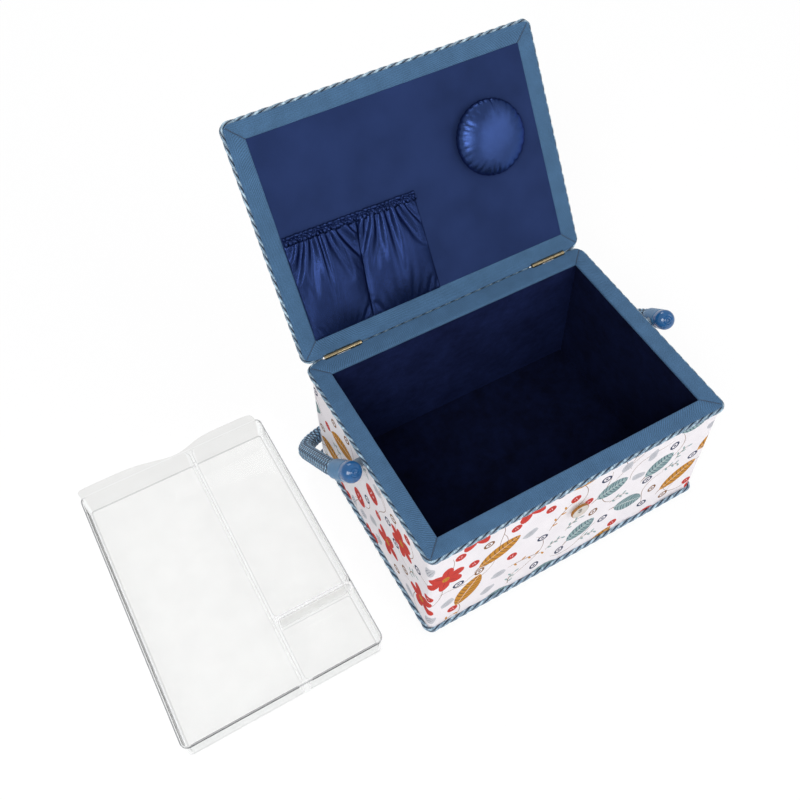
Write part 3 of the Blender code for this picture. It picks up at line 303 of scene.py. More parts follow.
INKS = {
    "ground": (240, 236, 239), "mustard": (200, 136, 14), "ochre": (138, 88, 12), "red": (200, 48, 34),
    "brick": (140, 30, 26), "teal": (140, 168, 168), "slate": (78, 106, 118), "navy": (44, 56, 86),
    "brown": (124, 80, 28), "grey": (196, 197, 203), "smoke": (130, 134, 144),
}
FINISH = {name: finish(name, kind, *values) for name, kind, *values in (
    ("twill", twill, (69, 103, 137)),
    ("plain_cloth", twill, (36, 46, 86)),
    # piping and braid: the first colour is painted shade where strands lie against and pass under each other;
    # the third is their palest fibre and the painted highlight on top of each strand
    ("piping", yarn, (12, 34, 58), (50, 90, 124), (190, 218, 234),
     420.0, 30, 0.0091, 0.24, 0.13, 0.26, 0.0, 0.2),
    ("braid", yarn, (12, 40, 70), (58, 120, 168), (180, 222, 246),
     900.0, 8, 0.0083, 0.4, 0.12, 0.22, WEAVE, 0.1),
    # the braid's core: a real filler, its dark colour partly painted shade showing in the gaps between
    # strands
    ("braid_core", yarn, (24, 40, 56), (40, 62, 84), (60, 86, 108)),
    # the mitre thread: a real stitch, its dark navy partly painted shade of the fold at each mitre
    ("seam", yarn, (16, 34, 56), (30, 52, 80), (60, 88, 118), 900.0, 40),
    ("thread", yarn, (52, 84, 112), (88, 126, 160), (140, 170, 195), 900.0, 40),
    ("thread_pale", yarn, (70, 64, 60), (112, 104, 98), (150, 142, 134), 900.0, 40),
    ("satin", satin, (43, 60, 109), 0.5, 0.27, 0.85),
    ("satin_pin", satin, (56, 78, 134), 0.4, 0.26, 0.82),
    ("satin_panel", satin, (43, 59, 104), 0.8, 0.8, 0.0),
    # The two velvets below are one cloth: the back wall's copy is painted lighter, as painted light where the
    # lamps fall on that wall, and the other linings' copy darker.
    ("velvet", velvet, (7, 12, 38), (17, 27, 66)),
    ("velvet_back", velvet, (16, 25, 62), (30, 43, 92)),
    ("board", card, (168, 146, 116)),
    ("wadding", fluff, (236, 236, 231)),
    ("brass", metal, (174, 158, 126), 0.2),
    ("steel", metal, (168, 168, 172), 0.32),
    ("knob", plastic, (30, 86, 138), 0.14),
    ("sleeve", plastic, (46, 106, 150), 0.4),
    ("boss", plastic, (126, 142, 158), 0.5),
    ("clear", clear, (249, 250, 250), (240, 242, 243), 0.0, 1.14, 1.0),
    # The tray's floor, wall, foot and edge finishes are greyer copies of the clear styrene: painted shade for
    # the grey tints and dark lines that light gives a clear moulding at its floors, walls, bevels and rim.
    ("clear_floor", clear, (241, 241, 240), (238, 240, 241), 0.0, 1.14, 1.0),
    ("clear_wall", clear, (236, 236, 235), (236, 238, 239), 0.0, 1.14, 1.0),
    ("clear_foot", clear, (205, 205, 205), (230, 232, 233), 0.02, 1.14, 1.0),
    ("clear_edge", clear, (140, 142, 145), (225, 227, 228), 0.02, 1.14, 0.4),
    ("button", clear, (214, 209, 202), (225, 225, 222), 0.18, 1.45, 0.25),
    ("button_side", clear, (160, 104, 36), (206, 170, 110), 0.18, 1.45, 0.25),
    *(("print_" + ink, printed, rgb) for ink, rgb in INKS.items()),
)}


# ---------------------------------------------------------------- mesh helpers

def carry(made, body, node=None):
    """Says what body an object rides on and the CAD node that it replaces."""
    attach(made, body)
    if node:
        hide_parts(node)


def add_object(name, data):
    made = bpy.data.objects.new(name, data)
    bpy.context.scene.collection.objects.link(made)
    return made


def new_mesh(name, shape, *finishes):
    """A mesh of (points, faces) or (points, faces, uvs); uvs hold one pair for each corner of each face."""
    points, faces, *uvs = shape
    mesh = bpy.data.meshes.new(name)
    mesh.from_pydata(points, [], faces)
    if uvs:
        layer = mesh.uv_layers.new(name="UVMap")
        layer.data.foreach_set("uv", [value for face in uvs[0] for pair in face for value in pair])
    for item in finishes:
        mesh.materials.append(FINISH[item])
    return mesh


def shaded(mesh, smooth):
    """Smooth, but for edges sharper than so many degrees."""
    mesh.shade_smooth()
    mesh.set_sharp_from_angle(angle=math.radians(smooth))


def make(name, shape, body, item, node=None, smooth=50, weld=0.0, place=None):
    """Adds one object of a shape in one finish, and says what it rides on and stands for."""
    mesh = new_mesh(name, shape, item)
    work = bmesh.new()
    work.from_mesh(mesh)
    if weld:
        bmesh.ops.remove_doubles(work, verts=work.verts, dist=weld)
        bmesh.ops.dissolve_degenerate(work, edges=work.edges, dist=weld / 10)
    if place is not None:
        bmesh.ops.transform(work, matrix=place, verts=work.verts)
    bmesh.ops.recalc_face_normals(work, faces=work.faces)
    work.to_mesh(mesh)
    work.free()
    shaded(mesh, smooth)
    made = add_object(name, mesh)
    if body:
        carry(made, body, node)
    return made


def flat_uvs(points, faces, up=1):
    """UVs straight from the points' X and Y, or X and Z for up=2."""
    return [tuple((points[i][0], points[i][up]) for i in face) for face in faces]


def lengths(points, closed=False):
    """How far along each point lies, and the whole length at the end if the line is closed."""
    found = [0.0]
    line = [*points, points[0]] if closed else points
    for before, after in zip(line, line[1:]):
        found.append(found[-1] + (Vector(after) - Vector(before)).length)
    return found


def surface(rings, closed=False, wrap=False, caps=False, u=None, v=None):
    """(points, faces, uvs) of rings of equally many points. closed joins each ring's ends, wrap joins
    the last ring to the first, and caps shut the first and last ring."""
    count, size = len(rings), len(rings[0])
    u = u or lengths(rings[count // 2], closed)
    v = v or lengths([ring[0] for ring in rings], wrap)
    points = [tuple(point) for ring in rings for point in ring]
    faces, uvs = [], []
    for row in range(count if wrap else count - 1):
        below, above = row * size, (row + 1) % count * size
        for column in range(size if closed else size - 1):
            after = (column + 1) % size
            faces.append((below + column, below + after, above + after, above + column))
            corners = ((column, row), (column + 1, row), (column + 1, row + 1), (column, row + 1))
            uvs.append(tuple((u[x], v[y]) for x, y in corners))
    if caps:
        ends = [tuple(range(start, start + size)) for start in (0, (count - 1) * size)]
        faces += ends
        uvs += flat_uvs(points, ends)
    return points, faces, uvs


def join(*parts):
    """Puts several (points, faces, uvs) together as one."""
    points, faces, uvs = [], [], []
    for more_points, more_faces, more_uvs in parts:
        shift = len(points)
        points += more_points
        faces += [tuple(index + shift for index in face) for face in more_faces]
        uvs += more_uvs
    return points, faces, uvs


def arc(x, y, radius, start, end, steps):
    """Points round a centre, between two angles in degrees."""
    turns = [math.radians(start + (end - start) * step / steps) for step in range(steps + 1)]
    return [(x + radius * math.cos(t), y + radius * math.sin(t)) for t in turns]


def rounded(half_x, half_y, radius, steps=8):
    """A rounded rectangle's outline, anticlockwise from its right side."""
    x, y = half_x - radius, half_y - radius
    outline = []
    for centre_x, centre_y, start in ((x, y, 0), (-x, y, 90), (-x, -y, 180), (x, -y, 270)):
        outline += arc(centre_x, centre_y, radius, start, start + 90, steps)
    return outline


def turned(profile, steps, bend=None):
    """Turns (radius, height) pairs round Z into rings; bend(turn, radius, height) moves a point."""
    rings = []
    for radius, height in profile:
        ring = []
        for step in range(steps):
            turn = math.tau * step / steps
            r, z = bend(turn, radius, height) if bend else (radius, height)
            ring.append((r * math.cos(turn), r * math.sin(turn), z))
        rings.append(ring)
    return rings


def lathe(profile, steps):
    """A solid turned round Z, with both ends shut."""
    return surface(turned(profile, steps), closed=True, caps=True)


def flat_way(before, after):
    """The direction in XY from one point to another."""
    return Vector((after[0] - before[0], after[1] - before[1], 0)).normalized()


def unit(value):
    """Keeps a value from 0 to 1."""
    return max(0.0, min(1.0, value))


def rumple(x, y, z, size, seed=0.0):
    """Smooth noise from -1 to 1, over a length of about size."""
    return noise.noise(Vector((x / size + seed * 7.13, y / size - seed * 3.7, z / size + seed)))


class Loop:
    """The path round a rounded rectangle, from the left end of its front side, anticlockwise."""

    def __init__(self, half_x, half_y, radius):
        self.radius = radius
        self.x, self.y = half_x - radius, half_y - radius
        self.half_x, self.half_y = half_x, half_y
        quarter = math.pi * radius / 2
        self.parts = [2 * self.x, quarter, 2 * self.y, quarter, 2 * self.x, quarter, 2 * self.y, quarter]
        self.length = sum(self.parts)

    def at(self, distance):
        """(x, y, outward x, outward y) at a distance along the path."""
        rest, index = distance % self.length, 0
        while index < 7 and rest > self.parts[index]:
            rest -= self.parts[index]
            index += 1
        side = index // 2
        turn = -math.pi / 2 + side * math.pi / 2
        if index % 2:
            centre = ((self.x, -self.y), (self.x, self.y), (-self.x, self.y), (-self.x, -self.y))[side]
            turn += rest / self.radius
            out = (math.cos(turn), math.sin(turn))
            return centre[0] + self.radius * out[0], centre[1] + self.radius * out[1], *out
        out = (round(math.cos(turn)), round(math.sin(turn)))
        start = ((-self.x, -self.half_y), (self.half_x, -self.y), (self.x, self.half_y),
                 (-self.half_x, self.y))[side]
        return start[0] - out[1] * rest, start[1] + out[0] * rest, *out

    def bends(self):
        """Distances at which the path bends."""
        found, start = [], 0.0
        for index, part in enumerate(self.parts):
            if index % 2:
                found += [start + part * step / 7 for step in range(8)]
            start += part
        return found


def strand(path, radius, sides, closed=False, flat=1.0, phase=0.0, v=None):
    """Rings of a cord along (centre, outward, across) frames; flat squeezes it outwards."""
    rings = []
    for centre, out, across in path:
        ring = []
        for step in range(sides):
            turn = phase + math.tau * step / sides
            ring.append(centre + out * (radius * flat * math.cos(turn)) + across * (radius * math.sin(turn)))
        rings.append(ring)
    return surface(rings, closed=True, wrap=closed, caps=not closed, v=v)


# ---------------------------------------------------------------- twisted cord and binding

CORD_STRAND, CORD_OUT, CORD_TURN, CORD_STEP = 1.45 * MM, 0.0002, 0.034, 0.0008


def near_hinge(x, spread, fall=0.002):
    """1 where x lies within a hinge's length plus spread, and 0 from fall beyond that."""
    past = abs(abs(x) - HINGE_X) - HINGE_HALF - spread
    return unit(1 - past / fall)


def twisted_cord(name, node, height, body, place, dip, back=0.0):
    """Three satin strands twisted together round the box's outline. The cord dips at the hinges and
    reaches back between them."""
    loop = Loop(HALF_X + CORD_OUT, HALF_Y + CORD_OUT, EDGE_RADIUS + CORD_OUT)
    pitch = loop.length / round(loop.length / CORD_TURN)
    steps = round(loop.length / CORD_STEP)
    parts = []
    for start in (0.0, math.tau / 3, math.tau * 2 / 3):
        path = []
        for index in range(steps):
            distance = loop.length * index / steps
            x, y, out_x, out_y = loop.at(distance)
            wobble = 0.8 * rumple(x, y, 0, 0.03, height * 100)
            turn = math.tau * distance / pitch + start + wobble
            out = Vector((out_x, out_y, 0))
            sink = dip * near_hinge(x, 0.0005) if out_y > 0.99 else 0.0
            arm = out * math.cos(turn) + UP * math.sin(turn)
            side = UP * math.cos(turn) - out * math.sin(turn)
            thick = 1.12 + 0.06 * rumple(x, y, turn, 0.005, 5)
            if out_y > 0.5:
                y += back * (1 - near_hinge(x, 0.0003, 0.0006)) * unit((HALF_X - 0.001 - abs(x)) / 0.006)
            path.append((Vector((x, y, height + sink)) + arm * thick * MM, arm, side))
        # phase pi starts each ring on the side towards the cord's middle, where the painted shade between
        # strands goes
        parts.append(strand(path, CORD_STRAND, 12, closed=True, phase=math.pi))
    make(name, join(*parts), body, "piping", node, place=place)


BINDING_SECTION = (
    (0.10, 149.98), (-0.08, 150.25), (-0.06, 150.60), (0.22, 150.88), (0.8, 151.00), (2.0, 151.04),
    (4.0, 151.05), (6.0, 151.05), (8.0, 151.06), (10.0, 151.05), (12.0, 151.05), (14.0, 151.04),
    (15.2, 150.98), (15.9, 150.84), (16.4, 150.50), (16.68, 150.05), (16.80, 149.45), (16.80, 148.70),
    (16.42, 148.70), (16.40, 149.95), (16.0, 150.28), (15.2, 150.40), (8.0, 150.45), (1.2, 150.38),
    (0.6, 150.20), (0.5, 149.98),
)  # millimetres in from the edge, and up
TOP_ROWS, INNER_ROWS = range(3, 15), range(14, 18)  # of that section


def binding(name, node, half_long, half_short, turn, body, place, seed):
    """One strip of twill tape, its ends folded to a mitre and its long edges rolled over."""
    shares = [1 - step / (half_long - BINDING) for step in
              (0.0, 0.0003, 0.0007, 0.0012, 0.0018, 0.0026, 0.004, 0.007)]
    inner, count = shares[-1] * 0.985, 90
    middle = [inner * (2 * step / count - 1) for step in range(count + 1)]
    at_back = turn == math.pi
    if at_back:
        ends = [HINGE_X + side * (HINGE_HALF + gap) for side in (-1, 1) for gap in (0.00015, 0.0005)]
        middle = sorted(middle + [sign * x / (half_long - EDGE_RADIUS) for x in ends for sign in (-1, 1)])
    corner = (-45, -56, -67, -78)
    stations = [(-1, angle) for angle in corner] + [(0, -share) for share in shares]
    stations += [(0, share) for share in middle + shares[::-1]] + [(1, angle) for angle in corner[::-1]]
    rings = []
    for side, value in stations:
        ring = []
        for row, (inset, height) in enumerate(BINDING_SECTION):
            d = inset * MM
            end = half_long - max(d, EDGE_RADIUS) - 0.00012
            x, y = (value if side == 0 else side) * end, d - half_short
            if side and d < EDGE_RADIUS:
                angle = math.radians(value)
                x = side * (end + (EDGE_RADIUS - d) * math.cos(angle))
                y = EDGE_RADIUS - half_short + (EDGE_RADIUS - d) * math.sin(angle)
            z = height * MM
            world = Matrix.Rotation(turn, 2) @ Vector((x, y))
            if row in TOP_ROWS:
                to_mitre = max(0.0, (half_long - abs(x)) - max(d, y + half_short)) / math.sqrt(2)
                fine, broad = (rumple(world.x, world.y, 0, size, seed) for size in (0.013, 0.04))
                z += (fine * 0.05 + broad * 0.07) * MM * (1 - abs(d - 0.008) / 0.0095)
                z -= 0.55 * MM * math.exp(-((to_mitre / 0.0010) ** 2))
            if row in INNER_ROWS:
                y += rumple(x, y, z, 0.018, seed + 3) * 0.16 * MM
            if at_back and d < 0.005:
                reach = unit((half_long - 0.004 - abs(x)) / 0.010) * (1 - near_hinge(x, 0.00015, 0.00035))
                y -= 0.0022 * reach * (1 - max(d, 0.0) / 0.005)
                z = max(z, 150.12 * MM) if d < 0.002 and near_hinge(world.x, 0.001) > 0 else z
            ring.append((x, y, z))
        rings.append(ring)
    tape = make(name, surface(rings, closed=True, caps=True), body, "twill", node, weld=2e-6,
                place=place @ Matrix.Rotation(turn, 4, "Z"))


def mitre_thread(name, side_x, side_y, body, place):
    """The thread that closes a mitre, lying in its groove. Its dark navy is partly painted shade, standing in
    for the fold's shadow along the mitre.
    """
    path = []
    for step in range(41):
        inset = (0.0026 + (0.0160 - 0.0026) * step / 40)
        wave = 0.00012 * math.sin(step * 2.1)
        centre = Vector((side_x * (HALF_X - inset + wave), side_y * (HALF_Y - inset - wave), 0.15066))
        path.append((centre, UP, Vector((side_x, -side_y, 0)).normalized()))
    make(name, strand(path, 0.00036, 8), body, "seam", place=place)


def add_trims():
    mirrored = LID_PLATE @ Matrix.Translation((0, 0, 0.0003 + HEIGHT)) @ Matrix.Scale(-1, 4, (0, 0, 1))
    twisted_cord("rim_cord", "rim_piping", 0.1474, "box", UPRIGHT, -0.0011, 0.0018)
    twisted_cord("base_cord", "base_piping", 0.0030, "box", UPRIGHT, 0.0)
    twisted_cord("lid_cord", "lid_piping", 0.0039, "lid", LID_PLATE, 0.0011, 0.0018)
    sides = (("front", HALF_X, HALF_Y, 0.0), ("back", HALF_X, HALF_Y, math.pi),
             ("left", HALF_Y, HALF_X, -math.pi / 2), ("right", HALF_Y, HALF_X, math.pi / 2))
    for index, (side, *way) in enumerate(sides):
        binding(f"rim_tape_{side}", f"rim_{side}_binding", *way, "box", UPRIGHT, index)
        binding(f"lid_tape_{side}", f"lid_{side}_binding", *way, "lid", mirrored, index + 9)
    for index, (x, y) in enumerate(((-1, -1), (1, -1), (1, 1), (-1, 1))):
        mitre_thread(f"rim_mitre_{index + 1}", x, y, "box", UPRIGHT)
        mitre_thread(f"lid_mitre_{index + 1}", x, y, "lid", mirrored)


# ---------------------------------------------------------------- linings

def panel(name, node, width, height, thick, roll, place, body, item, seed, unrest):
    """A cloth-covered card. Its face looks along -Y, with a rolled edge and a slight unevenness."""
    edge = [roll * share for share in (0.0, 0.08, 0.3, 0.62)]
    axes = []
    for size in (width, height):
        inner = max(4, round((size - 2 * roll) / 0.006))
        line = edge + [roll + (size - 2 * roll) * step / inner for step in range(inner + 1)]
        axes.append(line + [size - value for value in edge[::-1]])
    rings = []
    for z in axes[1]:
        ring = []
        for x in axes[0]:
            drop = 0.0
            for near in (min(x, width - x), min(z, height - z)):
                if near < roll:
                    drop += roll - math.sqrt(max(roll ** 2 - (roll - near) ** 2, 0.0))
            swell = unrest * (rumple(x, 0, z, 0.03, seed) + 0.6 * rumple(x, 0, z, 0.011, seed + 2))
            inside = min(1.0, min(x, width - x, z, height - z) / 0.004)
            ring.append((x - width / 2, min(drop, roll * 1.2) - swell * inside, z))
        rings.append(ring)
    points, faces, uvs = surface(rings, u=axes[0], v=axes[1])
    size, rows = len(axes[0]), len(axes[1])
    border = [*range(size)] + [row * size + size - 1 for row in range(1, rows)]
    border += [(rows - 1) * size + column for column in range(size - 2, -1, -1)]
    border += [row * size for row in range(rows - 2, 0, -1)]
    start = len(points)
    points += [(points[i][0], thick, points[i][2]) for i in border]
    back = []
    for index, here in enumerate(border):
        after = (index + 1) % len(border)
        back.append((here, border[after], start + after, start + index))
    back.append(tuple(range(start, start + len(border))))
    shape = points, faces + back, uvs + flat_uvs(points, back, 2)
    made = make(name, shape, body, item, node, place=place)


def add_linings():
    low, wall = 0.0062, 0.1437
    walls = (("front", 0.2836, (0, -INNER_Y, low), math.pi), ("back", 0.2836, (0, INNER_Y, low), 0.0),
             ("left", 0.195, (-INNER_X, 0, low), math.pi / 2),
             ("right", 0.195, (INNER_X, 0, low), -math.pi / 2))
    for index, (side, width, spot, turn) in enumerate(walls):
        place = Matrix.Translation(spot) @ Matrix.Rotation(turn, 4, "Z")
        # the back wall takes the lighter copy of the velvet: painted light where the lamps fall on it
        panel(f"{side}_velvet", f"{side}_lining", width, wall, 0.002, 0.0014, place, "box",
              "velvet_back" if side == "back" else "velvet", index, 0.00022)
    flat = Matrix.Translation((0, -0.0998, 0.0059)) @ Matrix.Rotation(-math.pi / 2, 4, "X")
    panel("floor_velvet", "floor_lining", 0.2836, 0.1996, 0.0015, 0.0012, flat, "box", "velvet",
          5, 0.0002)
    facing = LID_PLATE @ Matrix.Translation((0, 0.0975, 0.0006)) @ Matrix.Rotation(math.pi / 2, 4, "X")
    panel("lid_satin", "lid_lining", 0.279, 0.195, 0.0005, 0.0003, facing, "lid", "satin_panel",
          6, 0.00009)
    base = rounded(COVER_X, COVER_Y, COVER_RADIUS)
    rings = [[(x * s, y * s, z) for x, y in base] for s, z in
             ((0.999, 0.0001), (1.0, 0.0003), (1.0, 0.0006), (0.999, 0.0008))]
    shape = surface(rings, closed=True, caps=True)
    cloth = make("base_cloth", shape, "box", "plain_cloth", "base_cover")


# ---------------------------------------------------------------- printed cloth

def blob(x, y, half_x, half_y=None, turn=0.0, steps=18, wobble=0.0, power=1.0, seed=0.0):
    """An ellipse, with uneven edges where wobble is set, and pointed ends for power over one."""
    half_y = half_x if half_y is None else half_y
    points = []
    for step in range(steps):
        angle = math.tau * step / steps
        reach = 1 + wobble * noise.noise(Vector((math.cos(angle) * 1.4, math.sin(angle) * 1.4, seed)))
        px = half_x * math.cos(angle) * reach
        py = half_y * math.copysign(abs(math.sin(angle)) ** power, math.sin(angle)) * reach
        points.append((px, py))
    c, s = math.cos(turn), math.sin(turn)
    return [(x + px * c - py * s, y + px * s + py * c) for px, py in points]


def stroke(line, width, taper=0.35):
    """A thin pen line's outline, narrower at its ends."""
    left, right = [], []
    for index, (x, y) in enumerate(line):
        before, after = line[max(index - 1, 0)], line[min(index + 1, len(line) - 1)]
        along = Vector((after[0] - before[0], after[1] - before[1])).normalized()
        share = min(index, len(line) - 1 - index) / max(len(line) - 1, 1) * 2
        half = width / 2 * (taper + (1 - taper) * min(1.0, share * 2))
        left.append((x - along.y * half, y + along.x * half))
        right.append((x + along.y * half, y - along.x * half))
    return right + left[::-1]


def clip_to(points, outline):
    """What lies inside a convex outline that runs anticlockwise."""
    for (ax, ay), (bx, by) in zip([outline[-1], *outline], outline):
        sides = [(bx - ax) * (y - ay) - (by - ay) * (x - ax) for x, y in points]
        kept = []
        for index, (x, y) in enumerate(points):
            (px, py), before, here = points[index - 1], sides[index - 1], sides[index]
            if (here >= 0) != (before >= 0):
                share = before / (before - here)
                kept.append((px + (x - px) * share, py + (y - py) * share))
            if here >= 0:
                kept.append((x, y))
        points = kept
    return points


def moved(shapes, x, y, turn, size=1.0):
    """Turns, scales and shifts (outline, ink) pairs."""
    c, s = math.cos(turn) * size, math.sin(turn) * size
    return [([(x + px * c - py * s, y + px * s + py * c) for px, py in points], ink)
            for points, ink in shapes]


def spoke(turn, reach, share):
    """The point in one direction from the middle, at a share of the reach."""
    return math.cos(turn) * reach * share, math.sin(turn) * reach * share


def striped_leaf(rng, ink, dark, long, wide):
    """A pointed leaf crossed by curved veins, on a short stalk."""
    outline = blob(0, 0, long, wide, steps=26, power=1.45)
    shapes = [(stroke([(-long - 5, -1.5), (-long - 1, 0), (-long + 6, 0)], 1.1), "brown"), (outline, ink)]
    for index in range(9):
        x = -long * 0.82 + 1.64 * long * index / 8 + rng.uniform(-0.4, 0.4)
        lean = 2.6 + rng.uniform(-0.4, 0.6)
        for side in (1, -1):
            line = [(x + lean * t * t * 1.6, side * wide * 1.1 * t) for t in (0.03, 0.3, 0.6, 1.0)]
            vein = clip_to(stroke(line, 1.05, 0.7), outline)
            if len(vein) > 2:
                shapes.append((vein, dark))
    return shapes + [(stroke([(-long * 0.95, 0), (0, 0.4), (long * 0.9, 0)], 0.6), "ground")]


def petal_flower(rng, ink, dark, reach, petals):
    """A flower with a line on each petal and a dotted middle."""
    shapes = []
    for index in range(petals):
        turn = math.tau * index / petals + rng.uniform(-0.08, 0.08)
        petal = blob(*spoke(turn, reach, 0.56), reach * 0.48, reach * 0.31, turn, 16, 0.12, 1.0, index)
        shapes.append((petal, ink))
    for index in range(petals):
        line = [spoke(math.tau * index / petals, reach, share) for share in (0.28, 0.5, 0.8)]
        shapes.append((stroke(line, 0.6), dark))
    shapes.append((blob(0, 0, reach * 0.2, steps=14), "mustard"))
    for index in range(5):
        shapes.append((blob(*spoke(math.tau * index / 5, reach, 0.11), 0.5, steps=7), "brown"))
    return shapes


def berry(ink, dark, reach):
    """A round fruit with a pale glint and a star of seeds."""
    shapes = [(blob(0, 0, reach, steps=22, wobble=0.05), ink), (blob(0, 0, reach * 0.62, steps=18), dark),
              (blob(0, 0, reach * 0.52, steps=18), ink)]
    for index in range(3):
        turn = math.tau * index / 3 + 0.4
        shapes.append((blob(*spoke(turn, reach, 0.26), reach * 0.13, reach * 0.08, turn, 8), "ground"))
    return shapes


def seed_ring(ink, reach):
    """An oval ring with a seed in it."""
    return [(blob(0, 0, reach * long, reach * wide, steps=steps), colour) for long, wide, steps, colour in (
        (1, 0.82, 18, ink), (0.62, 0.48, 14, "ground"), (0.32, 0.22, 10, ink))]


def pebble(rng, reach):
    """A grey pebble with three lines across it."""
    shapes = [(blob(0, 0, reach, reach * 0.7, steps=16, wobble=0.3, seed=rng.random() * 9), "grey")]
    for row in (-0.3, 0.0, 0.3):
        line = [(-reach * 0.7, reach * row), (0, reach * (row + 0.06)), (reach * 0.7, reach * row)]
        shapes.append((stroke(line, 0.5), "smoke"))
    return shapes


def sprig(ink, long):
    """A wavy stem with small leaves on both sides."""
    line = [(long * (t - 0.5), 2.2 * math.sin(3 * t)) for t in (0, 0.2, 0.4, 0.6, 0.8, 1.0)]
    shapes = [(stroke(line, 0.8), "brown")]
    for index, (x, y) in enumerate(line[1:]):
        side = 1 if index % 2 else -1
        shapes.append((blob(x + 0.8, y + side * 1.9, 2.3, 1.0, side * 0.9, 10, power=1.3), ink))
    return shapes


def tendril(rng, long):
    """A loose brown line that curls at one end."""
    line, x, y, turn = [], 0.0, 0.0, rng.uniform(-0.6, 0.6)
    bend = rng.choice((-1, 1))
    for index in range(34):
        share = index / 33
        turn += bend * (0.02 + 0.085 * math.sin(share * 4.6))
        x += long / 34 * math.cos(turn)
        y += long / 34 * math.sin(turn)
        line.append((x - long * 0.3, y))
    return [(stroke(line, 0.65, 0.5), "brown")]


LARGE = {
    "leaf": lambda rng: striped_leaf(rng, "mustard", "ochre", 18, 8.5),
    "oval": lambda rng: striped_leaf(rng, "teal", "slate", 13.5, 9.0),
    "flower": lambda rng: petal_flower(rng, "red", "brick", 14.5, rng.choice((5, 6))),
    "berry": lambda rng: berry("red", "brick", 8.5),
    "stem": lambda rng: sprig("mustard", 30),
}
SMALL = (
    (0.26, lambda rng: seed_ring("navy", 4.6)), (0.48, lambda rng: seed_ring("brown", 4.4)),
    (0.7, lambda rng: pebble(rng, 6.2)), (0.86, lambda rng: sprig("teal", 15)),
    (1.0, lambda rng: berry("red", "brick", 4.2)),
)  # drawn up to this share
KINDS = ("leaf", "flower", "oval", "berry", "leaf", "oval", "flower", "stem")
PITCH_X, PITCH_Y, MOTIF_SIZE = 60.0, 50.0, 1.32


def print_layout(width, height, seed):
    """Motifs over a sheet of this size in millimetres, as (outline, ink) from the lowest up."""
    rng = random.Random(seed)
    large, small, lines = [], [], []
    for row in range(math.ceil(height / PITCH_Y) + 1):
        for column in range(math.ceil(width / PITCH_X) + 1):
            x = (column + (row % 2) / 2) * PITCH_X + rng.uniform(-4, 4)
            y = row * PITCH_Y + rng.uniform(-3.5, 3.5) - 4
            turn = rng.uniform(-0.3, 1.3)
            shape = LARGE[KINDS[(column * 3 + row * 5 + seed) % len(KINDS)]](rng)
            large += moved(shape, x, y, turn, MOTIF_SIZE)
            lines += moved(tendril(rng, rng.uniform(60, 95)), x + 22, y + 17, rng.uniform(0, 6.28))
            for dx, dy in ((30, -1), (14, 25), (-14, 25)):
                sx, sy = x + dx + rng.uniform(-4, 4), y + dy + rng.uniform(-4, 4)
                pick = rng.random()
                shape = next(motif for limit, motif in SMALL if pick < limit)(rng)
                small += moved(shape, sx, sy, rng.uniform(-0.4, 1.4), MOTIF_SIZE)
    return lines + large + small


def snapped(points):
    """Rounds to a micrometre."""
    return [(round(x, 3), round(y, 3)) for x, y in points]


def printed_mesh(outline, motifs, walls=(), spots=(), holes=()):
    """Triangles of a printed sheet: (flat points, faces, inks). The top motif gives a face its ink."""
    outline = snapped(outline)
    order, inks = [outline], ["ground"]
    for points, ink in motifs:
        points = snapped(clip_to(points, outline))
        points = [point for index, point in enumerate(points) if point != points[index - 1]]
        if len(points) > 2:
            area = sum(a[0] * b[1] - b[0] * a[1] for a, b in zip(points, points[1:] + points[:1]))
            order.append(points if area > 0 else points[::-1])
            inks.append(ink)
    order += holes
    inks += [None] * len(holes)
    flat, loops, edges = [], [], []
    for points in order:
        loops.append(list(range(len(flat), len(flat) + len(points))))
        flat += points
    for line in walls:
        edges += [(len(flat) + i, len(flat) + i + 1) for i in range(len(line) - 1)]
        flat += snapped(line)
    flat = [Vector(point) for point in (*flat, *spots)]
    made, _, faces, _, _, origins = geometry.delaunay_2d_cdt(flat, edges, loops, 0, 1e-4)
    kept, colours = [], []
    for face, origin in zip(faces, origins):
        a, b, c = (made[index] for index in face)
        if origin and inks[max(origin)] and abs((b - a).cross(c - a)) >= 1e-6:
            kept.append(tuple(face))
            colours.append(inks[max(origin)])
    return [(p.x, p.y) for p in made], kept, colours


def cloth_part(sheet, bend):
    """Bends flat points (mm) into metres with bend(x, y), and keeps the flat place as UV."""
    flat, faces, colours = sheet
    flat = [(x * MM, y * MM) for x, y in flat]
    return ([bend(x, y) for x, y in flat], faces, flat_uvs(flat, faces)), colours


def printed_piece(name, node, parts, body, place):
    """One cloth made of several printed sheets."""
    names = sorted(INKS)
    mesh = new_mesh(name, join(*[shape for shape, _ in parts]), *("print_" + ink for ink in names))
    inks = [names.index(ink) for _, colours in parts for ink in colours]
    mesh.polygons.foreach_set("material_index", inks)
    mesh.transform(place)
    mesh.shade_smooth()
    made = add_object(name, mesh)
    solid = made.modifiers.new("cloth", "SOLIDIFY")
    solid.thickness, solid.offset = 0.0006, -1
    carry(made, body, node)


def add_wall_cloth():
    loop = Loop(COVER_X, COVER_Y, COVER_RADIUS)
    start = sum(loop.parts[:4])
    length, low, high = loop.length * 1000, 1.1, 149.9
    bends = [((value - start) % loop.length) * 1000 for value in loop.bends()]
    holes = []
    for along in (sum(loop.parts[:2]) + loop.y + HANDLE_Y, sum(loop.parts[:6]) + loop.y - HANDLE_Y):
        middle = ((along - start) % loop.length) * 1000
        holes.append(blob(middle, HANDLE_Z * 1000, 2.2, steps=16))
    sheet = printed_mesh([(0, low), (length, low), (length, high), (0, high)], print_layout(length, high, 4),
                         [[(s, low), (s, high)] for s in bends if 0.01 < s < length - 0.01], holes=holes)
    part = cloth_part(sheet, lambda s, z: (*loop.at(s + start)[:2], z))
    printed_piece("wall_cloth", "cover_wrap", [part], "box", UPRIGHT)


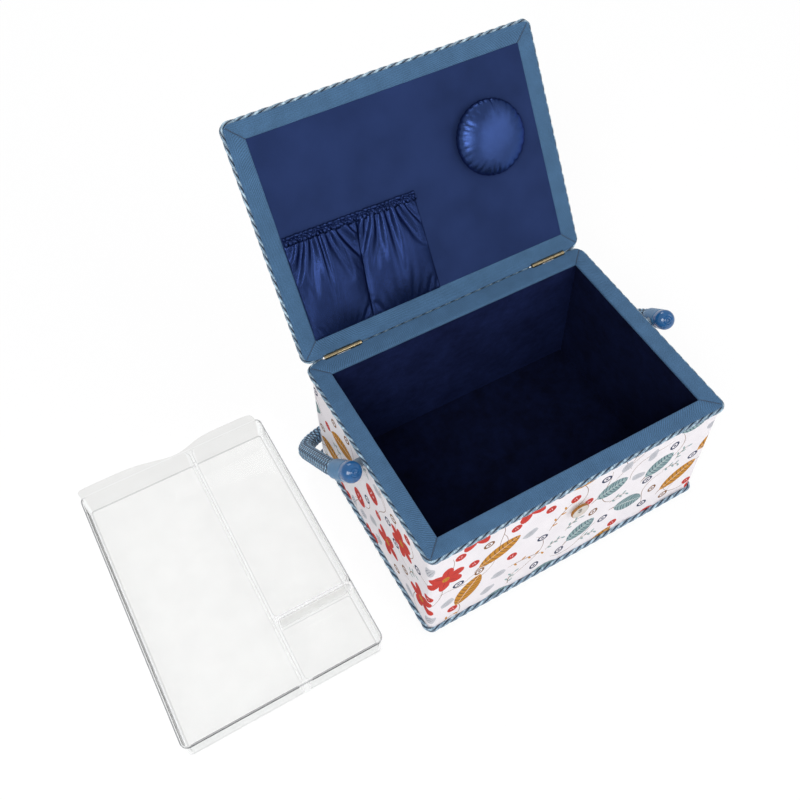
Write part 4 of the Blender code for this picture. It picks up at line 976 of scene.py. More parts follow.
EDGE_ROUND = 0.0026
TOP_X, TOP_Y, TOP_RADIUS = COVER_X - EDGE_ROUND, COVER_Y - EDGE_ROUND, 0.0024
SIDE_Z, EDGE_Z, CROWN = 0.0082, 0.0108, 0.0125


def crown(x, y):
    """Top of the padded lid over its edge."""
    across = 1 - min(1.0, abs(x) / TOP_X) ** 4
    along = 1 - min(1.0, abs(y) / TOP_Y) ** 4
    return CROWN * across * along


def edge_profile():
    """(inset, height) up the lid's side and round its edge."""
    line = [(0.0, 0.0014), (0.0, SIDE_Z)]
    for step in range(1, 7):
        turn = math.radians(90 * step / 6)
        line.append((EDGE_ROUND * (1 - math.cos(turn)), SIDE_Z + (EDGE_Z - SIDE_Z) * math.sin(turn)))
    return line


def segment(places, value):
    """Which part of a line, given by where its points lie, holds a value."""
    return max(i for i in range(len(places) - 1) if places[i] <= value + 1e-9 or i == 0)


def add_lid_cloth():
    outline = [(x * 1000, y * 1000) for x, y in rounded(TOP_X, TOP_Y, TOP_RADIUS, 6)]
    spots = [(column * 9.9, row * 9.7) for column in range(-15, 16) for row in range(-11, 12)]
    motifs = moved(print_layout(TOP_X * 2000, TOP_Y * 2000, 11), -TOP_X * 1000, -TOP_Y * 1000, 0)
    top = cloth_part(printed_mesh(outline, motifs, spots=spots), lambda x, y: (x, y, EDGE_Z + crown(x, y)))
    loop = Loop(COVER_X, COVER_Y, COVER_RADIUS)
    profile = edge_profile()
    places = lengths([(inset, height, 0) for inset, height in profile])
    length, high = loop.length * 1000, places[-1] * 1000

    def bend(s, w):
        index = segment(places, w)
        share = min(1.0, (w - places[index]) / (places[index + 1] - places[index]))
        inset, height = (a + (b - a) * share for a, b in zip(profile[index], profile[index + 1]))
        x, y, out_x, out_y = loop.at(min(s, loop.length - 1e-9))
        return (x - out_x * inset, y - out_y * inset, height)

    walls = [[(s * 1000, 0), (s * 1000, high)] for s in loop.bends() if 1e-5 < s < loop.length - 1e-5]
    walls += [[(0, place * 1000), (length, place * 1000)] for place in places[1:-1]]
    band = [(0, 0), (length, 0), (length, high), (0, high)]
    side = cloth_part(printed_mesh(band, print_layout(length, high + 10, 23), walls), bend)
    printed_piece("lid_cloth", "lid_cover", [top, side], "lid", LID_PLATE)


def add_wadding():
    """The padding under the lid's cloth."""
    board = rounded(COVER_X - 0.0011, COVER_Y - 0.0011, 0.0039, 6)
    rings = [[(x, y, 0.0077) for x, y in board]]
    for share in (1.0, 0.985, 0.95, 0.88, 0.78, 0.64, 0.46, 0.25, 0.08):
        ring = [(x * share, y * share) for x, y in board]
        low = 0.0096 if share > 0.99 else EDGE_Z - 0.0011
        rings.append([(x, y, low + crown(x, y) * 0.97) for x, y in ring])
    shape = surface(rings, closed=True, caps=True)
    wad = make("lid_wadding", shape, "lid", "wadding", "lid_pad", place=LID_PLATE)


# ---------------------------------------------------------------- pocket, pincushion, tab and button

POCKET_LEFT, POCKET_RIGHT = -0.1394, -0.0045
POCKET_TOP, POCKET_BOTTOM = -0.1132, -0.0189
SEAM = ((0.0, -0.0665), (0.3, -0.0712), (0.7, -0.0758), (1.0, -0.0782))


def along_line(line, place):
    """The value at a place on a line of (place, value) pairs."""
    for (a, first), (b, second) in zip(line, line[1:]):
        if place <= b:
            return first + (second - first) * max(0.0, place - a) / (b - a)
    return line[-1][1]


POUCH_COLUMNS, POUCH_ROWS = 56, 76
PANEL_FACE = 0.0003  # the lid's satin, above the lid's own plane
SIM_SIZE = 10  # the cloth settles at ten times its size, where the solver is steady
SIM_STEPS, SEW_STEPS = 42, 22
POCKET_CLOTH = {
    "quality": 6, "mass": 0.15, "air_damping": 2.0, "vertex_group_mass": "pins", "tension_stiffness": 30,
    "compression_stiffness": 30, "shear_stiffness": 8, "bending_stiffness": 40, "tension_damping": 10,
    "compression_damping": 10, "shear_damping": 5, "bending_damping": 1, "use_pressure": True,
    "uniform_pressure_force": 18,
}


def pleats(rng, low, high):
    """Gathers along a pouch's head: (start, width, depth)."""
    found, x = [], low
    while x < high - 0.004:
        width = rng.uniform(0.0065, 0.0125)
        if high - x - width < 0.006:
            width = high - x
        found.append((x, width, rng.uniform(0.0018, 0.0040)))
        x += width
    return found


def beside_seam(seam, pouch):
    """A pouch's left and right, where the seam between the two is at this place."""
    return ((POCKET_LEFT, seam - 0.0002), (seam + 0.0002, POCKET_RIGHT))[pouch]


def pouches():
    """Both pouches, sewn down and as cut: (sewn points, cut points, faces, points in a seam)."""
    rng = random.Random(3)
    sewn, loose, faces, seams = [], [], [], []
    for pouch in (0, 1):
        start = len(sewn)
        first, last = beside_seam(SEAM[0][1], pouch)
        folds = pleats(rng, first, last)
        for row in range(POUCH_ROWS + 1):
            down = row / POUCH_ROWS
            reach = (POCKET_BOTTOM - POCKET_TOP) * down
            low, high = beside_seam(along_line(SEAM, down), pouch)
            full = 1.03 + 0.42 * (1 - down) ** 6
            for column in range(POUCH_COLUMNS + 1):
                share = column / POUCH_COLUMNS
                x, head, fold = low + (high - low) * share, first + (last - first) * share, 0.0
                for place, width, deep in folds:
                    if place <= head < place + width:
                        fold = deep * (1 - math.cos(math.tau * (head - place) / width)) / 2
                rise = min(1.0, min(column, POUCH_COLUMNS - column) / 4) * min(1.0, (POUCH_ROWS - row) / 16)
                depth = 0.0006 + rise * (0.0014 * min(1.0, down * 6) + fold * (1 - down) ** 2)
                sewn.append((x, POCKET_TOP + reach, depth))
                middle = (low + high) / 2
                apart = middle + (x - middle) * full + (-0.016, 0.016)[pouch]
                loose.append((apart, POCKET_TOP + reach * 1.01, depth + 0.001))
                if row in (0, POUCH_ROWS) or column in (0, POUCH_COLUMNS):
                    seams.append(len(sewn) - 1)
        wide = POUCH_COLUMNS + 1
        faces += [(i, i + 1, i + wide + 1, i + wide) for row in range(POUCH_ROWS)
                  for i in range(start + row * wide, start + row * wide + POUCH_COLUMNS)]
    return sewn, loose, faces, seams


def eased(points, seams):
    """Evens out the settled cloth between its seams."""
    fixed, wide = set(seams), POUCH_COLUMNS + 1
    for _ in range(2):
        points = [point if index in fixed else tuple(
            point[axis] / 2 + sum(points[index + step][axis] for step in (-1, 1, -wide, wide)) / 8
            for axis in range(3)) for index, point in enumerate(points)]
    return points


def settled(sewn, loose, faces, seams):
    """Draws the cut cloth in to its seams, lets it fold and fall on the lid, and gives its points."""
    mesh = new_mesh("settling", ([Vector(point) * SIM_SIZE for point in loose], faces))
    cloth = add_object("settling", mesh)
    corners = [(-3, -3, 0), (2, -3, 0), (2, 2, 0), (-3, 2, 0)]
    board = add_object("plate", new_mesh("plate", (corners, [(0, 1, 2, 3)])))
    cloth.shape_key_add(name="cut")
    drawn = cloth.shape_key_add(name="sewn")
    for index, point in enumerate(sewn):
        drawn.data[index].co = Vector(point) * SIM_SIZE
    for when, value in ((1, 0.0), (SEW_STEPS, 1.0)):
        drawn.value = value
        drawn.keyframe_insert("value", frame=when)
    cloth.vertex_groups.new(name="pins").add(seams, 1.0, "REPLACE")
    board.modifiers.new("collide", "COLLISION")
    board.collision.thickness_outer = 0.004
    sim = cloth.modifiers.new("sim", "CLOTH")
    for key, value in POCKET_CLOTH.items():
        setattr(sim.settings, key, value)
    sim.collision_settings.distance_min = 0.004
    sim.collision_settings.use_self_collision = True
    sim.collision_settings.self_distance_min = 0.005
    scene = bpy.context.scene
    pull = LID.to_3x3().transposed() @ Vector((0, 0, -9.81))
    before = scene.gravity.copy()
    scene.gravity = (pull.x, pull.y, -pull.z)
    for step in range(1, SIM_STEPS + 1):
        scene.frame_set(step)
    graph = bpy.context.evaluated_depsgraph_get()
    found = [tuple(vertex.co / SIM_SIZE) for vertex in cloth.evaluated_get(graph).data.vertices]
    scene.gravity = before
    bpy.data.actions.remove(mesh.shape_keys.animation_data.action)
    for item in (cloth, board):
        bpy.data.objects.remove(item)
    scene.frame_set(1)
    return found


def add_pocket():
    sewn, loose, faces, seams = pouches()
    points = eased(settled(sewn, loose, faces, seams), seams)
    shape = [(x, y, PANEL_FACE - depth) for x, y, depth in points], faces, flat_uvs(loose, faces)
    cloth = make("pocket_cloth", shape, "lid", "satin", "lid_pocket", smooth=75, place=LID)
    finer = cloth.modifiers.new("finer", "SUBSURF")
    finer.levels = finer.render_levels = 1
    thick = cloth.modifiers.new("cloth", "SOLIDIFY")
    thick.thickness, thick.offset = 0.0002, 0


HEADER_COLUMNS = 420
HEADER_SECTION = (
    (-0.0010, 0.0002), (-0.0012, 0.0014), (-0.0006, 0.0024), (0.0006, 0.0029), (0.0017, 0.0024),
    (0.0026, 0.0017), (0.0034, 0.0024), (0.0047, 0.0036), (0.0062, 0.0041), (0.0077, 0.0038),
    (0.0090, 0.0029), (0.0099, 0.0019), (0.0104, 0.0010), (0.0104, 0.0002),
)  # (down the lid, depth), round the frill and then the casing


def add_header():
    """The pocket's ruffled head: a small frill above an elastic drawn up inside its casing."""
    rng = random.Random(5)
    creases, x = [], POCKET_LEFT
    while x < POCKET_RIGHT:
        creases.append((x, rng.uniform(0.6, 1.0), rng.uniform(-0.35, 0.35)))
        x += rng.uniform(0.0026, 0.0046)
    rings = []
    for column in range(HEADER_COLUMNS + 1):
        share = column / HEADER_COLUMNS
        x = POCKET_LEFT + 0.0009 + (POCKET_RIGHT - POCKET_LEFT - 0.0005) * share
        top = -0.1206 + 0.0034 * share
        ring = []
        for row, (down, depth) in enumerate(HEADER_SECTION):
            fold = 0.0
            for place, deep, lean in creases:
                off = x - place - lean * (down - 0.005)
                if abs(off) < 0.004:
                    fold = max(fold, deep * math.exp(-(off / 0.00075) ** 2))
            lump = 0.0006 * rumple(x, down, 0, 0.0032, 7) if 0 < row < len(HEADER_SECTION) - 1 else 0
            height = depth * (1 - 0.62 * fold) + lump
            frill = (-0.0006 if row < 3 else 0.0004 if row > 9 else 0.0) * (1 - 2 * fold)
            y = top + down * 0.78 + frill + 0.0004 * rumple(x, 0, 0, 0.009, 3)
            ring.append((x, y, PANEL_FACE - max(height, 0.0001)))
        rings.append(ring)
    shape = surface(rings, closed=True, caps=True)
    head = make("pocket_head", shape, "lid", "satin", "pocket_band", smooth=80, place=LID)


def add_pincushion():
    """A gathered round of satin, padded, its tucks running in from the edge."""
    rng = random.Random(12)
    puckers, turn = [], 0.0
    while turn < math.tau - 0.1:
        puckers.append((turn, rng.uniform(0.5, 1.3), rng.uniform(0.25, 0.62), rng.uniform(-0.25, 0.25)))
        turn += rng.uniform(0.13, 0.27)
    whole, shoulder, sides = 0.0365, 0.0056, 240
    profile = [(0.0, 0.0205)]
    for step in range(1, 41):
        turn = math.radians(90 * step / 40)
        profile.append((whole * math.sin(turn) ** 0.95, shoulder + 0.0149 * math.cos(turn)))
    profile += [(0.0364, 0.0046), (0.0361, 0.0036), (0.0356, 0.0026), (0.0350, 0.0016), (0.0342, 0.0006)]

    def bend(turn, radius, height):
        inward = max(0.0, 1 - radius / whole) if height > shoulder else 0.0
        dent = 0.0
        for place, deep, reach, curl in puckers:
            off = (turn - place - curl * inward + math.pi) % math.tau - math.pi
            fade = max(0.0, 1 - inward / reach)
            dent += deep * fade ** 1.4 * math.exp(-((off * radius / (0.0010 + 0.004 * inward)) ** 2))
        dent *= 0.0015 * min(1.0, 0.35 + height / 0.02)
        x, y = radius * math.cos(turn), radius * math.sin(turn)
        lump = 0.0005 * rumple(x, y, 0, 0.018, 6) * min(1.0, inward * 4)
        slope = min(1.0, inward * 2.2)
        return radius - dent * (1 - slope), max(0.0, height - dent * slope + lump)

    rings = turned(profile, sides, bend)
    points, faces, _ = surface(rings[1:], closed=True)
    start = len(points)
    points.append((0.0, 0.0, rings[0][0][2] + 0.0001))
    faces += [(start, index, (index + 1) % sides) for index in range(sides)]
    faces.append(tuple(range(start - sides, start)))
    place = LID @ Matrix.Translation((0.0853, -0.1404, 0.0003)) @ Matrix.Rotation(math.pi, 4, "X")
    shape = points, faces, flat_uvs(points, faces)
    cushion = make("pincushion_satin", shape, "lid", "satin_pin", "pincushion", place=place)


SLOT_WIDTH, SLOT_LENGTH = 0.0014, 0.0205


def stitched_slot(place):
    """The buttonhole's ring of thread; place() lays a point on the strap."""
    radius = 0.0005
    half_x, half_y = SLOT_WIDTH / 2 + radius * 0.6, SLOT_LENGTH / 2 + radius * 0.6
    outline = rounded(half_x, half_y, half_x * 0.98, 8)
    path = []
    for index, (x, y) in enumerate(outline):
        along = flat_way(outline[index - 1], outline[(index + 1) % len(outline)])
        path.append((Vector((x, y, 0)), Vector((along.y, -along.x, 0)), UP))
    points, *rest = strand(path, radius, 10, closed=True)
    shape = [place(Vector(point)) for point in points], *rest
    make("tab_buttonhole", shape, "lid", "thread", place=LID_PLATE)


def add_tab():
    """A strap of twill from the lid's front edge, lying back over its cover."""
    half, thick, lift, tip = 0.0085, 0.0011, 0.0003, 0.005
    side = [(-COVER_Y + inset - lift, height) for inset, height in edge_profile() if height > 0.0065]
    side = [(side[0][0], 0.0068)] + side
    top = [(-y, EDGE_Z + crown(0, y) + lift) for y in [TOP_Y - 0.0004 - 0.0012 * step for step in range(52)]]
    path = [(y, z + (lift if index > 1 else 0)) for index, (y, z) in enumerate(side)] + top
    run = lengths([(0, y, z) for y, z in path])
    whole = run[-1]
    middle = ((whole - 0.007 - SLOT_LENGTH) + (whole - 0.007)) / 2

    def spot(x, along, up):
        """A point on the strap: across it, along it and above its underside."""
        index = segment(run, along)
        share = (along - run[index]) / (run[index + 1] - run[index])
        (y0, z0), (y1, z1) = path[index], path[index + 1]
        lifted = Vector((1, 0, 0)).cross(Vector((0, y1 - y0, z1 - z0)).normalized()) * up
        return Vector((x, y0 + (y1 - y0) * share, z0 + (z1 - z0) * share)) + lifted

    def height(x, along):
        edge = min(half - abs(x), whole - along)
        rounding = math.sqrt(max(0.0, 1 - (1 - min(1.0, edge / 0.0007)) ** 2))
        stitch = 0.00022 if abs(edge - 0.0019) < 0.00035 else 0.0
        return (thick - stitch) * (0.35 + 0.65 * rounding)

    outline = [(-half, 0.0), (half, 0.0), (half, whole - tip)]
    outline += arc(half - tip, whole - tip, tip, 0, 90, 6) + arc(tip - half, whole - tip, tip, 90, 180, 6)
    outline = [(x * 1000, y * 1000) for x, y in outline]
    hole = rounded(SLOT_WIDTH / 2, SLOT_LENGTH / 2, 0.0006, 3)
    hole = [(x * 1000, (y + middle) * 1000) for x, y in hole]
    spots = [(x * 1.4, y * 1.2) for x in range(-5, 6) for y in range(1, int(whole * 1000 / 1.2))]
    walls = [[(-half * 1000, value * 1000), (half * 1000, value * 1000)] for value in run[1:-1:2]]
    flat, faces, _ = printed_mesh(outline, [], walls, spots, [hole])
    flat = [(x * MM, y * MM) for x, y in flat]
    points = [spot(x, y, height(x, y)) for x, y in flat] + [spot(x, y, 0.0) for x, y in flat]
    count = len(flat)
    rim = dict.fromkeys((a, b) for face in faces for a, b in zip(face, face[1:] + face[:1]))
    skins = faces + [tuple(i + count for i in reversed(face)) for face in faces]
    skins += [(b, a, a + count, b + count) for a, b in rim if (b, a) not in rim]
    shape = points, skins, flat_uvs(flat * 2, skins)
    strap = make("tab_strap", shape, "lid", "twill", "closure_tab", smooth=60, place=LID_PLATE)
    stitched_slot(lambda p: spot(p.x, p.y + middle, thick * 0.9 + p.z))


def cut(target, cutter, operation="DIFFERENCE"):
    """Applies a Boolean at once and drops the cutter."""
    modifier = target.modifiers.new("cut", "BOOLEAN")
    modifier.operation = operation
    modifier.solver = "EXACT"
    modifier.object = cutter
    bpy.context.view_layer.update()
    graph = bpy.context.evaluated_depsgraph_get()
    mesh = bpy.data.meshes.new_from_object(target.evaluated_get(graph))
    target.modifiers.clear()
    target.data = mesh
    bpy.data.objects.remove(cutter)


BUTTON_PROFILE = (
    (0.0022, 0.0), (0.0022, 0.0019), (0.0030, 0.0020), (0.0086, 0.0020), (0.0092, 0.0022), (0.0095, 0.0028),
    (0.0095, 0.0037), (0.0093, 0.0043), (0.0087, 0.00458), (0.0080, 0.0046), (0.0074, 0.0044),
    (0.0068, 0.0040), (0.0062, 0.00375), (0.0030, 0.0037),
)  # (radius, height)
HOLE_REACH = 0.0026


def add_button():
    """The sewn-on button: a thick rim, a dished middle, four holes and two stitches."""
    place = Matrix.Translation(BUTTON) @ Matrix.Rotation(math.pi / 2, 4, "X")
    disc = make("button", lathe(BUTTON_PROFILE, 72), None, "button")
    for index in range(4):
        turn = math.tau * (index + 0.5) / 4
        spot = Matrix.Translation((HOLE_REACH * math.cos(turn), HOLE_REACH * math.sin(turn), 0.0012))
        tube = lathe([(0.0008, -0.001), (0.0008, 0.009)], 20)[:2]
        cut(disc, make("hole", tube, None, "button", place=spot))
    disc.data.materials.append(FINISH["button_side"])
    for face in disc.data.polygons:
        if math.hypot(face.center.x, face.center.y) > 0.0089:
            face.material_index = len(disc.data.materials) - 1
    disc.data.transform(place)
    shaded(disc.data, 38)
    carry(disc, "box", "closure_button")
    reach = HOLE_REACH * math.sqrt(0.5)
    for index, y in enumerate((-reach, reach)):
        path = []
        for step in range(13):
            share = step / 12
            z = 0.0030 + 0.0011 * math.sin(math.pi * share) ** 0.35
            path.append((Vector(((2 * share - 1) * reach, y, z)), Vector((0, 1, 0)), UP))
        stitch = strand(path, 0.0004, 10)
        make(f"button_thread_{index + 1}", stitch, "box", "thread_pale", place=place)


# ---------------------------------------------------------------- handle

KNOB_REACH, TOE = 0.1750, math.tan(math.radians(10))
NECK, EASE, BEND, LONG = 0.0145, 0.0160, 0.062, 0.17455


def handle_line():
    """The braid's middle line in the handle's plane, from the right knob to the left one."""
    def offset(reach):
        past = min(max(reach - NECK, 0), EASE)
        return KNOB_REACH + TOE * (min(reach, NECK) + past - past ** 2 / (2 * EASE))

    corner, start = LONG - BEND, 0.0050
    reaches = [start + (corner - start) * step / 90 for step in range(91)]
    right = [(offset(reach), reach) for reach in reaches]
    centre = right[-1][0] - BEND
    right += arc(centre, corner, BEND, 0, 90, 80)[1:]
    right += [(centre - centre * step / 90, LONG) for step in range(1, 91)]
    return right + [(-x, y) for x, y in reversed(right[:-1])]


def resampled(line, step):
    """Evenly spaced points of a line, each with how far along it lies."""
    places = lengths([(x, y, 0) for x, y in line])
    count = round(places[-1] / step)
    found, index = [], 0
    for number in range(count + 1):
        place = places[-1] * number / count
        while index < len(places) - 2 and places[index + 1] < place:
            index += 1
        share = (place - places[index]) / (places[index + 1] - places[index])
        (x0, y0), (x1, y1) = line[index], line[index + 1]
        found.append((x0 + (x1 - x0) * share, y0 + (y1 - y0) * share, place))
    return found


STRANDS, BRAID_TURN = 6, 0.040


def add_braid():
    """Six strands wound each way over a core, each passing over and under the others."""
    line = resampled(handle_line(), 0.00115)
    frames = []
    for index, (x, y, place) in enumerate(line):
        along = flat_way(line[max(index - 1, 0)], line[min(index + 1, len(line) - 1)])
        frames.append((Vector((x, y, 0)), Vector((along.y, -along.x, 0)), along, place))
    length = line[-1][2]
    pitch = length / round(length / BRAID_TURN)
    row = pitch / STRANDS
    parts = []
    for way in (1, -1):
        for number in range(STRANDS):
            path = []
            for centre, side, along, place in frames:
                turn = way * math.tau * place / pitch + math.tau * number / STRANDS
                lift = way * math.cos(math.tau * place / row)
                radius = 0.00635 + 0.00075 * lift
                out = side * math.cos(turn) + UP * math.sin(turn)
                round_way = UP * math.cos(turn) - side * math.sin(turn)
                helix = (along * pitch + round_way * way * math.tau * radius).normalized()
                path.append((centre + out * radius, out, out.cross(helix).normalized()))
            # woven lays the painted shade where each strand passes under the others; phase pi starts each
            # ring towards the core, where the painted shade between strands goes
            woven = [(place / row + (0 if way > 0 else 0.5)) * WEAVE for *_, place in frames]
            parts.append(strand(path, 0.00178, 10, flat=0.46, phase=math.pi, v=woven))
    make("braid_cover", join(*parts), "handle", "braid", "handle_braid", smooth=80, place=HANDLE)
    # the core's dark colour is partly painted shade in the gaps between the strands
    core = [(centre, side, UP) for centre, side, _, _ in frames[::3]]
    make("braid_core", strand(core, 0.0058, 24), "handle", "braid_core", place=HANDLE)


# (radius, height) of each knob's parts, with the braid towards +Z
NECK_Z, DOME_Z, MARK = 0.0145, -0.0167, 0.0040
SLEEVE = (
    (0.0079, NECK_Z - 0.0010), (0.0082, NECK_Z - 0.0002), (0.0087, NECK_Z), (0.0091, NECK_Z - 0.0003),
    (0.0093, NECK_Z - 0.0012), (0.00945, 0.008), (0.0096, 0.0), (0.00985, -0.0085), (0.0099, -0.0092),
    (0.0098, -0.0098), (0.0094, -0.0101), (0.0060, -0.0101), (0.0060, -0.0060), (0.0079, -0.0040),
)
BOSS = ((0.0044, 0.0), (0.0044, 0.0112), (0.0040, 0.0116))


def ball_profile():
    """The ball below the sleeve, with a ring and a dimple on its tip."""
    ball = [(0.0060, -0.0042), (0.0060, -0.0101), (0.0092, -0.0104), (0.0097, -0.0108)]
    start = math.radians(8)
    for step in range(1, 22):
        turn = math.radians(8 + 64 * step / 21)
        ball.append((0.0100 * math.cos(turn - start), DOME_Z + 0.0018 - 0.0092 * math.sin(turn)))
    ball = [(r, z) for r, z in ball if r > MARK + 0.0005 or z > -0.012]
    tip = min(z for _, z in ball) - 0.0004
    return ball + [(MARK + 0.0004, tip + 0.0001), (MARK, tip + 0.0005), (MARK - 0.0004, tip + 0.0001),
                   (MARK - 0.0009, tip - 0.0003), (0.0022, tip - 0.0005), (0.0018, tip + 0.0002),
                   (0.0012, tip + 0.0006)]


def add_knobs():
    """Each end of the handle: a pale sleeve over the braid, a glossy ball and the boss on the wall."""
    sleeve = surface(turned(SLEEVE, 72), closed=True, wrap=True)
    for side, sign in (("left", -1), ("right", 1)):
        slant = Matrix.Rotation(-sign * math.radians(10), 4, "Z")
        place = HANDLE @ Matrix.Translation((sign * KNOB_REACH, 0, 0)) @ slant
        place = place @ Matrix.Rotation(-math.pi / 2, 4, "X")
        inner = HANDLE @ Matrix.Translation((sign * 0.15700, 0, 0))
        inner = inner @ Matrix.Rotation(sign * math.pi / 2, 4, "Y")
        for part, shape, item, node, smooth, where in (
                ("sleeve", sleeve, "sleeve", f"{side}_knob", 35, place),
                ("ball", lathe(ball_profile(), 96), "knob", None, 40, place),
                ("boss", lathe(BOSS, 40), "boss", None, 35, inner)):
            name = f"{side}_knob_{part}"
            make(name, shape, "handle", item, node, smooth=smooth, place=where)


# ---------------------------------------------------------------- tray

def tray_rings(low_x, high_x, low_y, high_y, radius, levels, slopes=(0.3, 0.3, 0.3, 0.3)):
    """Rings of a rounded block; levels hold (height, how far out of the stated sides).

    slopes holds each side's share of a move inwards; a move outwards takes 1.3 less that share.
    """
    rings = []
    for height, out in levels:
        x0, x1, y0, y1 = (side + sign * out * (share if out < 0.0 else 1.3 - share) for side, sign, share in
                          zip((low_x, high_x, low_y, high_y), (-1, 1, -1, 1), slopes))
        outline = rounded((x1 - x0) / 2, (y1 - y0) / 2, max(radius + out, 0.0006), 10)
        rings.append([((x0 + x1) / 2 + x, (y0 + y1) / 2 + y, height) for x, y in outline])
    return surface(rings, closed=True, caps=True)


def beyond(x, y, half_x, half_y, radius):
    """How far outside a rounded rectangle a point lies; it is negative inside."""
    over_x, over_y = abs(x) - half_x + radius, abs(y) - half_y + radius
    return math.hypot(max(over_x, 0.0), max(over_y, 0.0)) + min(max(over_x, over_y), 0.0) - radius


TRAY_X_HALF, TRAY_Y_HALF, TRAY_HEIGHT = 0.0965, 0.1390, 0.0290
TRAY_RADIUS, TRAY_WALL, DRAFT, DIVIDER_TOP = 0.0060, 0.0015, 0.0018, 0.0270
SPLIT_X, SPLIT_Y, DIVIDER = 0.0183, -0.0717, 0.0017


def tray_kind(face):
    """The finish of one face of the tray. Feet, bevels and the rim's top edge get the greyest copies of the
    clear finish, and floors and some walls lighter grey ones: painted shade for the grey that light gives a
    clear moulding.
    """
    x, y, z = face.center
    normal = face.normal
    out = beyond(x, y, TRAY_X_HALF, TRAY_Y_HALF, TRAY_RADIUS)
    if z > TRAY_HEIGHT + 0.0001:
        return "clear_wall" if abs(normal.z) > 0.7 else "clear_foot"
    if z > 0.02892 and out > -0.0004 or z > 0.0286 and normal.y < -0.3 and y > TRAY_Y_HALF - 0.003:
        return "clear_edge"
    if z < 0.0032:
        return "clear_floor" if abs(normal.z) > 0.96 else "clear_foot"
    if DIVIDER_TOP - 0.0006 < z < DIVIDER_TOP - 0.0001 and out < -0.0025:
        return "clear_foot"
    if abs(normal.y) > 0.9 and (y > SPLIT_Y + 0.004 or abs(y - SPLIT_Y) < 0.004 and normal.y < 0):
        return "clear_wall"
    return "clear"


def add_tray():
    """One clear moulding: three compartments, rolled rims and a finger lip at the far end."""
    outer = [(0.0, -DRAFT - 0.0007), (0.0003, -DRAFT - 0.0002), (0.0009, -DRAFT), (0.0272, -0.0001),
             (0.0276, 0.0013), (0.0281, 0.0020), (0.0286, 0.0020), (0.0289, 0.0013), (TRAY_HEIGHT, -0.0005)]
    block = tray_rings(-TRAY_X_HALF, TRAY_X_HALF, -TRAY_Y_HALF, TRAY_Y_HALF, TRAY_RADIUS, outer, (1, 1, 1, 1))
    tray = make("tray_clear", block[:2], None, "clear")

    def hollow(*block):
        cut(tray, make("cutter", tray_rings(*block)[:2], None, "clear"))

    left, right = TRAY_WALL - TRAY_X_HALF, TRAY_X_HALF - TRAY_WALL
    near, far = TRAY_WALL - TRAY_Y_HALF, TRAY_Y_HALF - TRAY_WALL
    levels = [(TRAY_WALL, -DRAFT - 0.0011), (TRAY_WALL + 0.0003, -DRAFT - 0.0003),
              (TRAY_WALL + 0.0011, -DRAFT), (DIVIDER_TOP - 0.0005, 0.0), (DIVIDER_TOP + 0.0001, 0.0008),
              (DIVIDER_TOP + 0.004, 0.0008)]
    hollow(left, SPLIT_X - DIVIDER, near, far, 0.0052, levels, (1, 0.3, 1, 1))
    hollow(SPLIT_X + DIVIDER, right, SPLIT_Y + DIVIDER, far, 0.0052, levels, (0.3, 1, 0.3, 1))
    hollow(SPLIT_X + DIVIDER, right, near, SPLIT_Y - DIVIDER, 0.0052, levels, (0.3, 1, 1, 0.3))
    levels = [(DIVIDER_TOP, 0.0), (0.0286, 0.0), (0.0291, 0.0003), (0.033, 0.0003)]
    hollow(left, right, near, far, 0.0045, levels)
    cut(tray, lip(), "UNION")
    # greyer copies of the clear finish, painted shade, for the tray's floors, walls, feet and edges
    kinds = ("clear", "clear_floor", "clear_wall", "clear_foot", "clear_edge")
    mesh = tray.data
    mesh.materials.clear()
    for kind in kinds:
        mesh.materials.append(FINISH[kind])
    for face in mesh.polygons:
        face.material_index = kinds.index(tray_kind(face))
    mesh.transform(TRAY)
    shaded(mesh, 35)
    tray.modifiers.new("even", "WEIGHTED_NORMAL").keep_sharp = True
    carry(tray, "tray", "tray")


LIP = (
    (-0.985, 0.0), (-1.0, 0.7), (-0.97, 1.0), (-0.41, 1.0), (-0.02, 0.2), (0.1, 0.2), (0.37, 1.0),
    (0.88, 1.0), (0.94, 0.75), (0.965, 0.0),
)  # shares of the tray's half width, and of the lip's rise


def lip():
    """The raised lip, with a dip for a finger."""
    smoothed = []
    for index, (x, reach) in enumerate(LIP):
        if index in (0, len(LIP) - 1):
            smoothed.append((x, reach))
            continue
        before, after = LIP[index - 1], LIP[index + 1]
        for step in range(5):
            t = step / 4
            rest = 0.65 + 0.35 * t
            a = (before[0] + (x - before[0]) * rest, before[1] + (reach - before[1]) * rest)
            b = (x + (after[0] - x) * 0.35 * t, reach + (after[1] - reach) * 0.35 * t)
            smoothed.append((a[0] + (b[0] - a[0]) * t, a[1] + (b[1] - a[1]) * t))
    rise = Vector((0, 0.0078, 0.0046))
    across = rise.cross(Vector((1, 0, 0))).normalized() * 0.0013
    start = Vector((0, TRAY_Y_HALF, TRAY_HEIGHT)) - rise.normalized() * 0.0015 - across / 2
    outline = [start + Vector((x * TRAY_X_HALF, 0, 0)) + rise * reach for x, reach in smoothed]
    outline += [start - rise.normalized() * 0.0003 + Vector((x * TRAY_X_HALF, 0, 0)) for x in (0.965, -0.985)]
    plate = surface([outline, [point + across for point in outline]], closed=True, caps=True)
    return make("lip", plate[:2], None, "clear")


# ---------------------------------------------------------------- kept CAD pieces, light and camera

WHITE = (1, 1, 1, 1)
CAD_FINISH = {"_board": "board", "_leaf": "brass", "screw": "steel", "hinge_pin": "steel", "_washer": "knob"}


def finish_cad():
    """Materials for the CAD pieces that stay in view."""
    for name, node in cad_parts.items():
        for part, item in CAD_FINISH.items():
            if part in name:
                for slot in node.material_slots:
                    slot.material = FINISH[item]


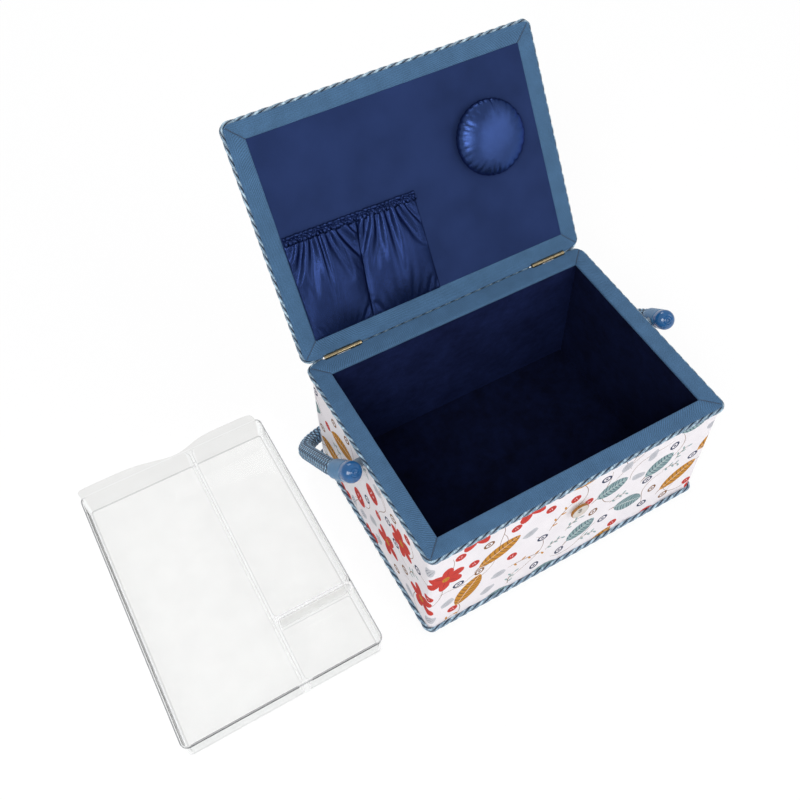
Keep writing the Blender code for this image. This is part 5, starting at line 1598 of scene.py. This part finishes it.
def add_stage():
    """A white floor and world, which the camera sees brighter than they light."""
    mesh = bpy.data.meshes.new("floor")
    disc = bmesh.new()
    bmesh.ops.create_circle(disc, cap_ends=True, radius=6.0, segments=96)
    disc.to_mesh(mesh)
    disc.free()
    material = bpy.data.materials.new("floor_paper")
    made = Nodes(material)
    made.tree.nodes.remove(made.shader)
    grain = made.noise(made.space(), 500.0)
    paper = made.add("BsdfDiffuse", Color=made.ramp(grain, (0.3, (250, 250, 251)), (0.7, (253, 253, 254))))
    glow = made.add("Emission", Color=WHITE, Strength=1.0)
    made.show(made.calc("MULTIPLY", made.rays("Camera", "Glossy", "Transmission"), 0.86), paper, glow)
    mesh.materials.append(material)
    floor = add_object("floor", mesh)
    floor.location = (0, 0, -0.0004)
    world = bpy.data.worlds.new("studio")
    bpy.context.scene.world = world
    made = Nodes(world)
    sky = made.tree.nodes["Background"]
    made.set(sky, Color=WHITE, Strength=0.56)
    bright = made.add("Background", Color=WHITE, Strength=1.0)
    made.show(made.rays("Camera", "Transmission"), sky, bright)


def add_lamp(name, place, target, size, power):
    data = bpy.data.lights.new(name, "AREA")
    data.shape = "RECTANGLE"
    data.size, data.size_y = size
    data.energy = power
    lamp = add_object(name, data)
    lamp.location = place
    lamp.rotation_mode = "QUATERNION"
    lamp.rotation_quaternion = (Vector(target) - Vector(place)).to_track_quat("-Z", "Y")


def add_camera():
    """The camera worked out from the photo."""
    data = bpy.data.cameras.new("camera")
    data.sensor_width = 36
    data.lens = 43.70175
    data.shift_x, data.shift_y = -0.0320, -0.0536
    data.clip_start = 0.01
    camera = add_object("camera", data)
    right = Vector((0.86583948, -0.50031352, 0.00289444))
    down = Vector((-0.39625045, -0.68925767, -0.6065554))
    forward = Vector((0.30546288, 0.52403269, -0.79503596))
    turn = Matrix((right, -down, -forward)).transposed().to_4x4()
    camera.matrix_world = Matrix.Translation((-0.334439, -0.411647, 0.881364)) @ turn
    bpy.context.scene.camera = camera


for add in (add_trims, add_linings, add_wall_cloth, add_lid_cloth, add_wadding, add_pocket, add_header,
            add_pincushion, add_tab, add_button, add_braid, add_knobs, add_tray, finish_cad, add_stage):
    add()
add_lamp("key", (-1.3, -1.2, 1.9), (0, 0, 0.1), (1.1, 1.1), 28)
add_lamp("strip", (0.55, -1.56, 0.93), (0.02, 0.2, 0.24), (0.34, 1.4), 5)
add_lamp("fill", (1.5, -1.0, 1.3), (0, 0, 0.1), (1.2, 1.2), 7)
add_lamp("back", (0.3, 1.6, 1.6), (0, 0.1, 0.2), (1.0, 1.0), 10)
add_camera()
bpy.context.scene.view_settings.view_transform = "Standard"
